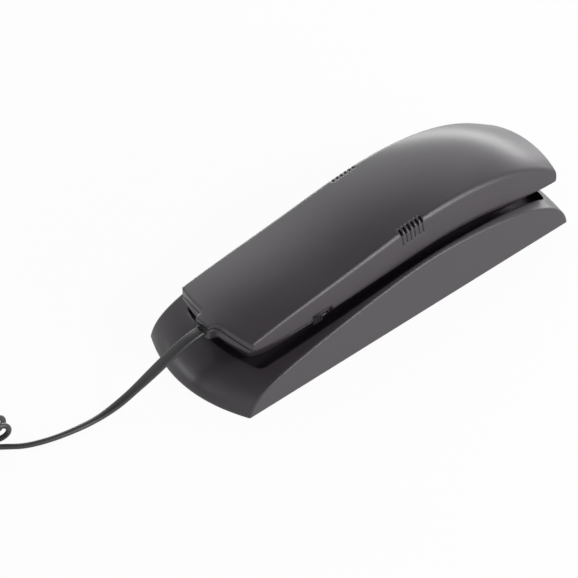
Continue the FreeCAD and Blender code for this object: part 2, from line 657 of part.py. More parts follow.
def cord_plug(x0, x1, y, z, half, neck):
    """A small modular plug that lies along X with its contacts at x0 and its cord at x1."""
    body = box(x0, x1 - 3, y - half, y + half, z - 2.1, z + 2.9)
    latch = box(x0 + 1.5, x1 - 3.5, y - 1.6, y + 1.6, z + 2.9, z + 3.6)
    return joined([body, box(x1 - 3, x1, y - neck, y + neck, z - 1.8, z + 1.8), latch])


def base_plug():
    x, y, z = TAIL_ROUTE[-1]
    return cord_plug(x - 13.0, x, y, z, 3.8, 2.7)


# Handset pieces

SLOT_COUNT = 6
SLOT_FIRST_Y = 3.4
SLOT_PITCH = 2.45
SLOT_WIDTH = 1.5
SLOT_FROM = 21.6
SLOT_DEPTH = 1.7
GROOVE = (0.5, 0.4, 6.5)          # the groove below each slot: width, depth and reach
JOINT_SCREWS = [(0.0, -50.0), (0.0, 56.0)]
JOINT_BOSS_TOP = (24.0, 26.0)
JOINT_SCREW_SINK = 3.4    # how deep the screws' seats lie in the face
HANDSET_BOARD = (-18.5, 18.5, -41.0, 44.0)
HANDSET_BOARD_BOTTOM = 28.0
HANDSET_BOARD_THICKNESS = 1.6
HANDSET_POSTS = [(-16.0, -37.0), (16.0, -37.0), (-16.0, 40.0), (16.0, 40.0)]
HANDSET_POST_RADIUS = 1.9
MEMBRANE = (-17.0, 17.0, -33.5, 25.5)
MEMBRANE_THICKNESS = 1.3
KEY_XS = (11.0, 0.0, -11.0)
KEY_ROWS = (20.0, 8.5, -2.5, -13.5, -24.5)
KEY_HALF = (4.2, 3.2)
KEY_FLANGE = (0.7, 0.8)   # how far it is wider than the key, and its thickness
KEY_CORNER = 1.3
KEY_PROUD = 1.0
KEY_TRAVEL = 1.0
KEY_NAMES = [["mute", "redial", "flash"], ["1", "2", "3"], ["4", "5", "6"], ["7", "8", "9"],
             ["star", "0", "hash"]]
EAR_Y = 76.0
EAR_RADIUS = 13.5
EAR_SEAT = 18.8
EAR_THICKNESS = 5.0
MIC_Y = -66.0
MIC_RADIUS = 3.2
MIC_BOOT_WALL = 1.5
MIC_BOTTOM = 17.4
RINGER = (0.0, 9.5, 12.0, 3.0)
RINGER_TOP = 40.2
PLUG_Z = 28.4
PLUG_FRONT = -87.4
JACK_HOLE = (3.95, 2.8, 2.6)      # half its width, and its reach below and above the plug's middle
NECK_HALF = (2.8, 1.8)
NECK_END_Y = -94.6
JACK = (-5.6, 5.6, -86.0, -73.5, 24.3, 31.7)
# The slide switch in the right side: pocket and knob along Y, and across the seam
POCKET = (-51.6, -40.4, 22.6, 28.4)
POCKET_FLOOR_X = 25.0
POCKET_BACK = 3.5         # how thick the wall behind the pocket is
KNOB_LENGTH = 5.6
KNOB_Z = (22.9, 26.2)
KNOB_NECK_Z = (24.1, 25.5)
KNOB_TRAVEL = 5.0
KNOB_X = (25.15, 25.65)
KNOB_RIB = 0.4


def face_height(y):
    return height(FACE_LINE, y)


def key_seat(y):
    """The highest place of the lower shell's inside under a key's flange."""
    reach = KEY_HALF[1] + KEY_FLANGE[0]
    return max(face_height(y - reach), face_height(y), face_height(y + reach)) + HANDSET_WALL


def rounded_block(x0, x1, y0, y1, z0, z1, radius):
    block = box(x0, x1, y0, y1, z0, z1)
    return block.makeFillet(radius, upright_edges(block))


def key(x, y):
    bottom = face_height(y) - KEY_PROUD
    seat = key_seat(y) + SEAT_GAP
    wide, deep = KEY_HALF
    cap = rounded_block(x - wide, x + wide, y - deep, y + deep, bottom, seat + 0.5, KEY_CORNER)
    rims = [e for e in cap.Edges if abs(e.BoundBox.ZMax - bottom) < 0.01]
    cap = cap.makeFillet(0.4, rims)
    more, thick = KEY_FLANGE
    flange = box(x - wide - more, x + wide + more, y - deep - more, y + deep + more, seat, seat + thick)
    top = HANDSET_BOARD_BOTTOM - MEMBRANE_THICKNESS - KEY_TRAVEL - 0.25
    return joined([cap, flange, box(x - 2.2, x + 2.2, y - 1.8, y + 1.8, seat, top)])


def pocket_cutters():
    y0, y1, z0, z1 = POCKET
    pocket = rounded_block(POCKET_FLOOR_X, REACH, y0, y1, z0, z1, 0.1)
    neck = box(15, REACH, y0 + 1.4, y1 - 1.4, KNOB_NECK_Z[0] - SLIDE_GAP, KNOB_NECK_Z[1] + SLIDE_GAP)
    return [pocket, neck]


def pocket_back(outside):
    y0, y1, z0, z1 = POCKET
    return box(POCKET_FLOOR_X - POCKET_BACK, REACH, y0 - 1.6, y1 + 1.6, z0 - 1.6, z1 + 1.4).common(outside)


def back_shell():
    shell = back_outer.cut(back_inner)
    for (x, y), low in zip(JOINT_SCREWS, JOINT_BOSS_TOP):
        boss = rod(x, y, low + SEAT_GAP, TOP_FREE, 3.0).common(back_space())
        shell = shell.fuse(boss).cut(rod(x, y, low - 1, low + 11, PILOT_RADIUS))
    x, y, radius, thick = RINGER
    holder = tube(x, y, RINGER_TOP - thick - 0.6, TOP_FREE, radius + 1.5, radius + SEAT_GAP)
    holder = holder.fuse(tube(x, y, RINGER_TOP + SEAT_GAP, TOP_FREE, radius + 1.0, radius - 2.0))
    shell = shell.fuse(holder.common(back_space())).fuse(pocket_back(back_outer))
    wide, deep, reach = GROOVE
    skin = back_outer.cut(lofted(back_section, deep))
    for i in range(SLOT_COUNT):
        place = SLOT_FIRST_Y + i * SLOT_PITCH
        ridge = height(RIDGE_LINE, place)
        for side in (-1, 1):
            ends = sorted((side * SLOT_FROM, side * REACH))
            groove = box(*ends, place - wide / 2, place + wide / 2, ridge - reach, TOP_FREE).common(skin)
            shell = shell.cut(box(*ends, place - SLOT_WIDTH / 2, place + SLOT_WIDTH / 2,
                                  ridge - SLOT_DEPTH, TOP_FREE)).cut(groove)
    wide, tall = NECK_HALF
    shell = shell.cut(box(-wide - 0.4, wide + 0.4, -REACH, PLUG_FRONT, 0, PLUG_Z + tall + 0.3))
    for cutter in pocket_cutters():
        shell = shell.cut(cutter)
    return shell.removeSplitter()


def back_space():
    """The upper shell's whole space, and what lies below it down to the lower boss."""
    below = box(-20, 20, MOUTH_CORNER[1] + 6, EAR_CORNER[1] - 8, 20, 33)
    return back_outer.fuse(below)


def face_shell():
    shell = face_outer.cut(face_inner)
    for (x, y), top in zip(JOINT_SCREWS, JOINT_BOSS_TOP):
        shell = shell.fuse(rod(x, y, 0, top, 3.8).cut(under(FACE_LINE, 0.9)))
        shell = shell.cut(rod(x, y, 0, face_height(y) + JOINT_SCREW_SINK, SCREW_HEAD[0] + 0.3))
        shell = shell.cut(rod(x, y, 0, TOP_FREE, SCREW_RADIUS + 0.3))
    for x, y in HANDSET_POSTS:
        post = rod(x, y, 0, HANDSET_BOARD_BOTTOM - 0.05, HANDSET_POST_RADIUS).cut(under(FACE_LINE, 0.9))
        shell = shell.fuse(post).cut(rod(x, y, HANDSET_BOARD_BOTTOM - 5, TOP_FREE, SMALL_PILOT))
    ear = tube(0, EAR_Y, 0, EAR_SEAT, EAR_RADIUS + 1.3, EAR_RADIUS - 2)
    ear = ear.fuse(tube(0, EAR_Y, 0, EAR_SEAT + 2.4, EAR_RADIUS + 1.3, EAR_RADIUS + SEAT_GAP))
    boot = MIC_RADIUS + MIC_BOOT_WALL
    mic = tube(0, MIC_Y, 0, MIC_BOTTOM + 2, boot + 1.1, boot + SEAT_GAP)
    jack_post = box(-4.5, 4.5, JACK[2] + 4, JACK[3] - 1, 0, JACK[4] - SEAT_GAP)
    for piece in (ear, mic, jack_post):
        shell = shell.fuse(piece.cut(under(FACE_LINE, 0.9)))
    shell = shell.fuse(pocket_back(face_outer))
    wide, deep = KEY_HALF[0] + SLIDE_GAP, KEY_HALF[1] + SLIDE_GAP
    for y in KEY_ROWS:
        for x in KEY_XS:
            shell = shell.cut(rounded_block(x - wide, x + wide, y - deep, y + deep, 0, key_seat(y) + 3,
                                            KEY_CORNER))
    for ring, count in ((0.0, 1), (4.0, 6), (8.0, 12)):
        for i in range(count):
            angle = 2 * math.pi * i / count
            shell = shell.cut(rod(ring * math.cos(angle), EAR_Y + ring * math.sin(angle), 0, EAR_SEAT, 0.9))
    for x in (-2.4, 0.0, 2.4):
        shell = shell.cut(box(x - 0.5, x + 0.5, MIC_Y - 2.2, MIC_Y + 2.2, 0, MIC_BOTTOM - 0.2))
    wide, tall = NECK_HALF
    shell = shell.cut(box(-wide - 0.4, wide + 0.4, -REACH, PLUG_FRONT, PLUG_Z - tall - 0.3, TOP_FREE))
    for cutter in pocket_cutters():
        shell = shell.cut(cutter)
    return shell.removeSplitter()


def handset_jack():
    x0, x1, y0, y1, z0, z1 = JACK
    half, below, above = JACK_HOLE
    hole = box(-half, half, y0 - 5, PLUG_FRONT + 11.7, PLUG_Z - below, PLUG_Z + above)
    return box(x0, x1, y0, y1, z0, z1).cut(hole)


def handset_plug():
    body = box(-3.8, 3.8, PLUG_FRONT, PLUG_FRONT + 11.4, PLUG_Z - 2.5, PLUG_Z + 2.4)
    wide, tall = NECK_HALF
    neck = box(-wide, wide, NECK_END_Y, PLUG_FRONT, PLUG_Z - tall, PLUG_Z + tall)
    return joined([body, neck])


def slide_knob():
    y0 = POCKET[0] + 0.4
    x0, x1 = KNOB_X
    pieces = [box(x0, x1, y0, y0 + KNOB_LENGTH, *KNOB_Z)]
    for i in range(4):
        y = y0 + 0.2 + i * 1.4
        pieces.append(box(x0, x1 + KNOB_RIB, y, y + 0.8, *KNOB_Z))
    pieces.append(box(20.0, x1, y0 + 1.9, y0 + 3.7, *KNOB_NECK_Z))
    return joined(pieces)


def slide_switch():
    y0, y1, z0, z1 = POCKET
    body = box(14.5, POCKET_FLOOR_X - POCKET_BACK - SEAT_GAP, y0 + 0.4, y1 - 0.4, z0 + 1.0, z1 - 1.6)
    low, high = KNOB_NECK_Z
    return body.cut(box(19.5, 30, y0 + 1.6, y1 - 1.6, low - SLIDE_GAP, high + SLIDE_GAP))


def handset_board():
    board = box(*HANDSET_BOARD, HANDSET_BOARD_BOTTOM, HANDSET_BOARD_BOTTOM + HANDSET_BOARD_THICKNESS)
    for x, y in HANDSET_POSTS:
        board = board.cut(rod(x, y, 0, TOP_FREE, SMALL_SCREW_RADIUS + 0.15))
    return board


def handset_chips():
    z = HANDSET_BOARD_BOTTOM + HANDSET_BOARD_THICKNESS + 0.02
    pieces = [box(-9, 9, -12, -4.5, z, z + 3.0), box(-12, -4, -30, -24, z, z + 2.5)]
    pieces.append(rod(9, -27, z, z + 5.5, 2.5))
    for i in range(5):
        pieces.append(box(-14 + 5.2 * i, -11.6 + 5.2 * i, 30, 32.2, z, z + 1.6))
    return group(pieces)


def build():
    save("base_shell", base_shell())
    save("bottom_plate", bottom_plate())
    save("feet", feet())
    save("base_screws", group([screw(x, y, SCREW_SEAT, SCREW_TIP, SCREW_RADIUS, SCREW_HEAD)
                               for x, y in BOSS_PLACES]))
    board = box(*BOARD, BOARD_BOTTOM, BOARD_TOP)
    for x, y in BOARD_POSTS:
        board = board.cut(rod(x, y, 0, TOP_FREE, SMALL_SCREW_RADIUS + 0.15))
    save("base_board", board)
    small = (SMALL_SCREW_RADIUS, SMALL_HEAD)
    save("base_board_screws", group([screw(x, y, BOARD_TOP + 0.02, PLATE_TOP - 1.0, *small)
                                     for x, y in BOARD_POSTS]))
    save("base_board_parts", board_parts())
    save("line_socket", socket_block(LINE_SOCKET))
    save("cord_socket", socket_block(CORD_SOCKET))
    save("socket_contacts", group(socket_contacts(LINE_SOCKET, 4) + socket_contacts(CORD_SOCKET, 4)))
    tab_top = height(TROUGH_LINE, (TAB[2] + TAB[3]) / 2) + TAB_PROUD
    save("hanger_tab", box(*TAB, TAB_BOTTOM, tab_top))
    save("hook_plunger", hook_plunger())
    save("hook_switch", hook_switch())
    save("hook_spring", coiled("hook_spring", spring_wire, SPRING_TURNS, SPRING_WIRE_RADIUS))

    save("handset_back", back_shell())
    save("handset_face", face_shell())
    screws = [screw(x, y, face_height(y) + JOINT_SCREW_SINK, top + 9, SCREW_RADIUS, SCREW_HEAD)
              for (x, y), top in zip(JOINT_SCREWS, JOINT_BOSS_TOP)]
    save("handset_screws", group(screws))
    save("handset_board", handset_board())
    top = HANDSET_BOARD_BOTTOM + HANDSET_BOARD_THICKNESS
    save("handset_board_screws", group([screw(x, y, top + 0.02, top - 5, *small) for x, y in HANDSET_POSTS]))
    save("handset_board_parts", handset_chips())
    under_board = HANDSET_BOARD_BOTTOM - 0.03
    save("key_membrane", box(*MEMBRANE, under_board - MEMBRANE_THICKNESS, under_board))
    for y, names in zip(KEY_ROWS, KEY_NAMES):
        for x, name in zip(KEY_XS, names):
            save("key_" + name, key(x, y))
    save("ear_capsule", rod(0, EAR_Y, EAR_SEAT + SEAT_GAP, EAR_SEAT + EAR_THICKNESS, EAR_RADIUS))
    save("microphone", rod(0, MIC_Y, MIC_BOTTOM, MIC_BOTTOM + 2.6, MIC_RADIUS - 0.02))
    boot = MIC_RADIUS + MIC_BOOT_WALL
    save("microphone_boot", tube(0, MIC_Y, MIC_BOTTOM - 0.2, MIC_BOTTOM + 2.6, boot, MIC_RADIUS))
    x, y, radius, thick = RINGER
    save("ringer", rod(x, y, RINGER_TOP - thick, RINGER_TOP, radius))
    save("slide_knob", slide_knob())
    save("slide_switch", slide_switch())
    save("handset_jack", handset_jack())
    save("handset_plug", handset_plug())

    save("handset_lead", cord_tube("handset_lead", LEAD_ROUTE, LEAD_RADIUS))
    save("curly_cord", coiled("curly_cord", curl, CURLS, CURL_WIRE_RADIUS))
    save("cord_tail", cord_tube("cord_tail", TAIL_ROUTE, LEAD_RADIUS))
    save("base_plug", base_plug())


os.makedirs("parts", exist_ok=True)
build()
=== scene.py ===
# %% [markdown]
# A slimline wall telephone lies closed: a long crowned handset rests in a base with an open trough, and a
# flat cord runs from the handset's mouth end into a curly cord at the left edge of the picture.
# The solids come packed from CAD. They are the frame: they are never moved, and what is added here rides
# on the same bodies. Loading the frame first gives every later step its places.

# %% The frame
import json
import math

import bpy
import bmesh
from mathutils import Matrix, Vector


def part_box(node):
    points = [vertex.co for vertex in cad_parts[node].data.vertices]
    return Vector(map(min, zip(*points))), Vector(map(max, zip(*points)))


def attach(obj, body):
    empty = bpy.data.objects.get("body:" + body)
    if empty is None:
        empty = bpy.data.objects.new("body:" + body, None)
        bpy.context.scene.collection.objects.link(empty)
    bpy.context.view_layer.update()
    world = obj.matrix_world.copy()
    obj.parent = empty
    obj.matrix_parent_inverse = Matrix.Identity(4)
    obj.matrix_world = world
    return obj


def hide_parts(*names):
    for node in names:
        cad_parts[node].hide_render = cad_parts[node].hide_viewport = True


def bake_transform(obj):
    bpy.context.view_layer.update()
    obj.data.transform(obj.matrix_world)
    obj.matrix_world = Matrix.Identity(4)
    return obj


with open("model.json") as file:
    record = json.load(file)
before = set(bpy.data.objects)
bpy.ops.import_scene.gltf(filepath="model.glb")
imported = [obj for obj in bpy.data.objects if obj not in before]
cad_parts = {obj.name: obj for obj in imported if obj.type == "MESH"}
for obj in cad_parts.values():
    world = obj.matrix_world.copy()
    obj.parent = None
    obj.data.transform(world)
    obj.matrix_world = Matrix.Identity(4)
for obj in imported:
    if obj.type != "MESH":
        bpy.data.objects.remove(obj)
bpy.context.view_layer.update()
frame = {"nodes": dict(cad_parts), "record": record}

MM = 0.001
nodes = frame["nodes"]

# %% [markdown]
# The picture was taken from the right front corner, well above the table and with a long lens, because the
# telephone's sides hardly converge. A camera is a place, a point that it looks at and a focal length. It is
# given here as an angle round the object, an angle above the table and a distance, since those three are
# what one reads from a picture.

# %% The camera
CAMERA_AZIMUTH = 48.95    # degrees, round Z from -Y
CAMERA_ELEVATION = 43.54
CAMERA_DISTANCE = 1430.6 * MM
CAMERA_TARGET = Vector((-1.8, -41.5, 19.4)) * MM
CAMERA_LENS = 195.74      # millimetres on a sensor 36 mm wide


def make_camera():
    """The scene's camera, at its distance and looking at its target."""
    azimuth, elevation = math.radians(CAMERA_AZIMUTH), math.radians(CAMERA_ELEVATION)
    back = Vector((math.sin(azimuth) * math.cos(elevation), -math.cos(azimuth) * math.cos(elevation),
                   math.sin(elevation)))
    data = bpy.data.cameras.new("camera")
    data.lens = CAMERA_LENS
    data.sensor_width = 36
    data.clip_start, data.clip_end = 0.05, 20
    camera = bpy.data.objects.new("camera", data)
    bpy.context.scene.collection.objects.link(camera)
    camera.location = CAMERA_TARGET + back * CAMERA_DISTANCE
    camera.rotation_euler = (-back).to_track_quat("-Z", "Y").to_euler()
    bpy.context.scene.camera = camera
    return camera


camera = make_camera()
print("camera at", [round(v, 3) for v in camera.location])

# %% [markdown]
# Every moulded surface here shares a few effects: a fine grain from the etched mould, and a slow drift in
# gloss where hands have polished it. An effect that several materials use is best a node group with named
# inputs, built once. A group may put out colours, masks, values and normals, while each shader stays in its
# own material.

# %% Shared effects: helpers and the grain group
def new_tree(name, inputs, outputs):
    """A shader group with its sockets, and its input and output nodes."""
    tree = bpy.data.node_groups.new(name, "ShaderNodeTree")
    for label, kind, value in inputs:
        socket = tree.interface.new_socket(label, in_out="INPUT", socket_type=kind)
        if value is not None:
            socket.default_value = value
    for label, kind in outputs:
        tree.interface.new_socket(label, in_out="OUTPUT", socket_type=kind)
    return tree, tree.nodes.new("NodeGroupInput"), tree.nodes.new("NodeGroupOutput")


def place(tree, kind, settings=None, **values):
    """One node with its settings and the values of its inputs, by name."""
    node = tree.nodes.new(kind)
    for key, value in (settings or {}).items():
        setattr(node, key, value)
    for key, value in values.items():
        node.inputs[key.replace("_", " ")].default_value = value
    return node


def math_node(tree, operation, *operands, clamp=False):
    """One Math node. Each operand is a socket or a number."""
    node = place(tree, "ShaderNodeMath", {"operation": operation, "use_clamp": clamp})
    for socket, value in zip(node.inputs, operands):
        if isinstance(value, (int, float)):
            socket.default_value = value
        else:
            tree.links.new(value, socket)
    return node.outputs[0]


FLOAT = "NodeSocketFloat"


def grain_group():
    """Grain: a fine height for bump, a roughness that drifts a little, and a slow tint mask."""
    tree, given, out = new_tree(
        "grain", [("Size", FLOAT, 2200.0), ("Roughness", FLOAT, 0.45), ("Drift", FLOAT, 0.06)],
        [("Height", FLOAT), ("Roughness", FLOAT), ("Mask", FLOAT)])
    where = place(tree, "ShaderNodeTexCoord")
    fine = place(tree, "ShaderNodeTexNoise", Detail=2.0, Roughness=0.6)
    slow = place(tree, "ShaderNodeTexNoise", Scale=28.0, Detail=3.0, Roughness=0.55)
    swing = math_node(tree, "SUBTRACT", slow.outputs["Fac"], 0.5)
    swing = math_node(tree, "MULTIPLY", swing, given.outputs["Drift"])
    rough = math_node(tree, "ADD", swing, given.outputs["Roughness"], clamp=True)
    link = tree.links.new
    link(where.outputs["Object"], fine.inputs["Vector"])
    link(where.outputs["Object"], slow.inputs["Vector"])
    link(given.outputs["Size"], fine.inputs["Scale"])
    link(fine.outputs["Fac"], out.inputs["Height"])
    link(rough, out.inputs["Roughness"])
    link(slow.outputs["Fac"], out.inputs["Mask"])
    return tree


grain = grain_group()
print("group", grain.name, [s.name for s in grain.interface.items_tree])

# %% [markdown]
# The cord is one continuous vinyl cord. It leaves the handset's mouth end as a flat lead, comes down to the
# table, narrows to a round wire and winds into a curly cord, whose free end carries a plug. A cord can be a
# bevelled curve, but this one changes its section on the way, so its centre line is a spline and its skin is
# made ring by ring. The flat lead's route is typed as the points a hand would use to steer it.

# %% The cord: the route's points, in millimetres
LEAD_POINTS = [(0.0, -94.65, 28.4), (0.0, -101.4, 28.4), (-2.2, -112.6, 21.2), (-5.0, -123.8, 12.4),
               (-7.2, -136.0, 4.8), (-8.6, -148.0, 1.4), (-9.9, -159.5, 1.3), (-12.3, -171.2, 1.3),
               (-16.51, -182.3, 1.3), (-21.79, -188.96, 1.3)]
CURLY_POINTS = [(-23.4, -191.0, 0.0), (-36.7, -185.2, 0.0), (-51.6, -201.2, 0.0), (-67.3, -220.0, 0.0),
                (-63.7, -243.0, 0.0), (-41.5, -254.2, 0.0), (-20.8, -243.0, 0.0), (-1.0, -231.3, 0.0),
                (0.9, -219.2, 0.0)]
TAIL_POINTS = [(-1.574, -218.494, 1.3), (-9.3, -216.39, 1.4), (-17.0, -217.4, 2.0), (-24.6, -217.4, 2.2)]


def nurbs_line(name, points, fineness):
    """The line of a smooth spline that these control points steer, as points in metres."""
    data = bpy.data.curves.new(name, "CURVE")
    data.dimensions = "3D"
    data.resolution_u = fineness
    spline = data.splines.new("NURBS")
    spline.points.add(len(points) - 1)
    for point, at in zip(spline.points, points):
        point.co = (at[0] * MM, at[1] * MM, at[2] * MM, 1.0)
    spline.order_u = 3
    spline.use_endpoint_u = True
    holder = bpy.data.objects.new(name, data)
    bpy.context.scene.collection.objects.link(holder)
    bpy.context.view_layer.update()
    mesh = bpy.data.meshes.new_from_object(holder)
    line = [v.co.copy() for v in mesh.vertices]
    bpy.data.objects.remove(holder)
    bpy.data.meshes.remove(mesh)
    return line


def walk(line, count):
    """The point, the direction and the length so far at equal steps along a line."""
    reached = [0.0]
    for a, b in zip(line, line[1:]):
        reached.append(reached[-1] + (b - a).length)
    marks, k = [], 0
    for i in range(count + 1):
        goal = reached[-1] * i / count
        while k < len(line) - 2 and reached[k + 1] < goal:
            k += 1
        piece = line[k + 1] - line[k]
        marks.append((line[k] + piece * ((goal - reached[k]) / piece.length), piece.normalized(), goal))
    return marks


curly_line = nurbs_line("curly_cord_line", CURLY_POINTS, fineness=24)
print("curly cord's own line", round(walk(curly_line, 10)[-1][2] * 1000, 1), "mm")

# %% [markdown]
# A curly cord is a wire wound round a rod and set by heat, and its coil bends without losing its pitch. Its
# wire is therefore a helix round the coil's own line. The helix is made of sixteen control points a turn and
# becomes part of the same spline as the lead, so that there is no join where the winding begins.

# %% The cord: winding the curly part
CURLS = 33
CURL_POINTS = 16
CURL_RADIUS = 5.3        # the spline runs two percent inside its control points
WIRE_RADIUS = 1.3
CORD_RINGS = 1110        # about one a millimetre, or thirty a curl


def wound():
    """Control points of the winding, in millimetres."""
    points = []
    for i, (at, ahead, _) in enumerate(walk(curly_line, CURLS * CURL_POINTS)):
        angle = 2 * math.pi * i / CURL_POINTS
        left = Vector((-ahead.y, ahead.x, 0))
        at = at / MM + left * (CURL_RADIUS * math.sin(angle))
        points.append((at.x, at.y, WIRE_RADIUS + CURL_RADIUS * (1 - math.cos(angle))))
    return points


cord_line = nurbs_line("cord_line", LEAD_POINTS + wound() + TAIL_POINTS, fineness=8)
cord_marks = walk(cord_line, CORD_RINGS)
print("cord", round(cord_marks[-1][2], 3), "m,", len(cord_marks), "rings")

# %% [markdown]
# The lead is flat because four conductors lie side by side in it. Its section is an oval with flattened
# sides that narrows to the round wire of the winding. Each ring's upward direction is carried on from the
# ring before, which keeps the skin from twisting. A map of the length and the way round is stored with it,
# so that a pattern can follow the cord.

# %% The cord: its skin
CORD_SIDES = 12
# At a length: half the width, half the thickness and the squareness, where 2 is an ellipse.
CORD_SHAPE = [(0.0, 2.85, 1.2, 3.2), (24.0, 2.8, 1.2, 3.2), (46.0, 2.15, 1.2, 2.8), (66.0, 1.5, 1.25, 2.2),
              (84.0, 1.3, 1.3, 2.0), (1e4, 1.3, 1.3, 2.0)]


def section_at(length):
    """Half the width, half the thickness and the squareness at a length in millimetres."""
    for low, high in zip(CORD_SHAPE, CORD_SHAPE[1:]):
        if length <= high[0]:
            t = (length - low[0]) / (high[0] - low[0])
            t = t * t * (3 - 2 * t)
            return [a + (b - a) * t for a, b in zip(low[1:], high[1:])]


def cord_skin(name, marks):
    """A tube round the marks, ring by ring, with the map of its length and the way round."""
    bm = bmesh.new()
    along = bm.loops.layers.uv.new("cord")
    up, rings = Vector((0, 0, 1)), []
    for at, ahead, length in marks:
        up = (up - ahead * up.dot(ahead)).normalized()
        side = ahead.cross(up)
        wide, thick, square = section_at(length / MM)
        ring = []
        for k in range(CORD_SIDES):
            c, s = math.cos(2 * math.pi * k / CORD_SIDES), math.sin(2 * math.pi * k / CORD_SIDES)
            x = math.copysign(abs(c) ** (2 / square), c) * wide * MM
            z = math.copysign(abs(s) ** (2 / square), s) * thick * MM
            ring.append(bm.verts.new(at + side * x + up * z))
        rings.append((ring, length))
    for (a, la), (b, lb) in zip(rings, rings[1:]):
        for k in range(CORD_SIDES):
            n = (k + 1) % CORD_SIDES
            face = bm.faces.new((a[k], a[n], b[n], b[k]))
            face.smooth = True
            corners = ((k, la), (k + 1, la), (k + 1, lb), (k, lb))
            for loop, (turn, reach) in zip(face.loops, corners):
                loop[along].uv = (turn / CORD_SIDES, reach)
    bm.faces.new(rings[0][0])
    bm.faces.new(reversed(rings[-1][0]))
    bmesh.ops.recalc_face_normals(bm, faces=bm.faces)
    mesh = bpy.data.meshes.new(name)
    bm.to_mesh(mesh)
    bm.free()
    cord = bpy.data.objects.new(name, mesh)
    bpy.context.scene.collection.objects.link(cord)
    return cord


cord = cord_skin("handset_cord", cord_marks)
print(cord.name, len(cord.data.polygons), "faces")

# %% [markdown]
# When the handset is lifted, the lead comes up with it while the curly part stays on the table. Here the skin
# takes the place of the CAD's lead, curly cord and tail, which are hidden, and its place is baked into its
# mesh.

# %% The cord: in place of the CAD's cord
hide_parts("handset_lead", "curly_cord", "cord_tail")
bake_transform(cord)
print("cord declared", cord.name)

# %% [markdown]
# Moulded corners are never quite sharp: they have a radius of a few tenths of a millimetre, which shows as a
# thin bright line, and hands rub that line smoother and paler. The Bevel node rounds the shading there
# without adding faces. The group compares its rounded normal with the true one: they differ only near an
# edge, and that gives the mask for wear.

# %% Shared effects: the worn edge group
def edge_group():
    """Worn edge: a rounded normal and a mask that is 1 on the corners, broken up by noise."""
    tree, given, out = new_tree("worn edge", [("Radius", FLOAT, 0.0006), ("Wear", FLOAT, 0.5)],
                                [("Normal", "NodeSocketVector"), ("Mask", FLOAT)])
    where = place(tree, "ShaderNodeTexCoord")
    rounded = place(tree, "ShaderNodeBevel", {"samples": 6})
    true = place(tree, "ShaderNodeNewGeometry")
    meet = place(tree, "ShaderNodeVectorMath", {"operation": "DOT_PRODUCT"})
    turned = place(tree, "ShaderNodeMapRange", From_Min=0.995, From_Max=0.80, To_Min=0.0, To_Max=1.0)
    patches = place(tree, "ShaderNodeTexNoise", Scale=90.0, Detail=3.0, Roughness=0.6)
    broken = place(tree, "ShaderNodeMapRange", From_Min=0.35, From_Max=0.65, To_Min=0.35, To_Max=1.0)
    worn = math_node(tree, "MULTIPLY", turned.outputs["Result"], broken.outputs["Result"])
    worn = math_node(tree, "MULTIPLY", worn, given.outputs["Wear"], clamp=True)
    link = tree.links.new
    link(given.outputs["Radius"], rounded.inputs["Radius"])
    link(rounded.outputs["Normal"], meet.inputs[0])
    link(true.outputs["Normal"], meet.inputs[1])
    link(meet.outputs["Value"], turned.inputs["Value"])
    link(where.outputs["Object"], patches.inputs["Vector"])
    link(patches.outputs["Fac"], broken.inputs["Value"])
    link(rounded.outputs["Normal"], out.inputs["Normal"])
    link(worn, out.inputs["Mask"])
    return tree


worn_edge = edge_group()
print("group", worn_edge.name)

# %% [markdown]
# The shells, keys and sockets are injection moulded plastic that differs in colour, gloss and coarseness of
# its grain. One recipe with those as values makes them all: the grain gives bump and roughness, a slow mask
# tints the colour a little, and the worn edge lightens the corners.

# %% Finishes: moulded plastic
def new_material(name, **values):
    """A material with its one shader and the constants that its sockets keep."""
    material = bpy.data.materials.new(name)
    material.use_nodes = True
    tree = material.node_tree
    shader = tree.nodes["Principled BSDF"]
    for key, value in values.items():
        shader.inputs[key.replace("_", " ")].default_value = value
    return material, tree, shader


def group_in(tree, group, **values):
    """A node that uses one of the shared effects, with the values of its inputs."""
    node = place(tree, "ShaderNodeGroup")
    node.node_tree = group
    for key, value in values.items():
        node.inputs[key].default_value = value
    return node


def mixed(tree, mask, first, second):
    """A colour that goes from first to second where the mask does."""
    node = place(tree, "ShaderNodeMix", {"data_type": "RGBA"})
    tree.links.new(mask, node.inputs[0])
    for socket, colour in ((node.inputs[6], first), (node.inputs[7], second)):
        if isinstance(colour, tuple):
            socket.default_value = (*colour, 1.0)
        else:
            tree.links.new(colour, socket)
    return node.outputs[2]


def bumped(tree, shader, height, strength, depth, normal=None):
    """Feeds a height to the shader's normal, on top of a normal if one is given."""
    bump = place(tree, "ShaderNodeBump", Strength=strength, Distance=depth * MM)
    tree.links.new(height, bump.inputs["Height"])
    if normal is not None:
        tree.links.new(normal, bump.inputs["Normal"])
    tree.links.new(bump.outputs["Normal"], shader.inputs["Normal"])


def tinted(colour, by):
    """A colour made darker or lighter."""
    return tuple(min(1.0, channel * by) for channel in colour)


def moulded(name, colour, roughness, grain_size, grain_depth, corner=0.5, wear=0.5, drift=0.1):
    """Moulded plastic. The grain's depth and the corner's radius are in millimetres."""
    material, tree, shader = new_material(name)
    skin = group_in(tree, grain, Size=grain_size, Roughness=roughness, Drift=drift)
    edge = group_in(tree, worn_edge, Radius=corner * MM, Wear=wear)
    plain = mixed(tree, skin.outputs["Mask"], tinted(colour, 0.93), tinted(colour, 1.07))
    tree.links.new(mixed(tree, edge.outputs["Mask"], plain, tinted(colour, 1.7)), shader.inputs["Base Color"])
    tree.links.new(skin.outputs["Roughness"], shader.inputs["Roughness"])
    bumped(tree, shader, skin.outputs["Height"], 0.35, grain_depth, edge.outputs["Normal"])
    return material


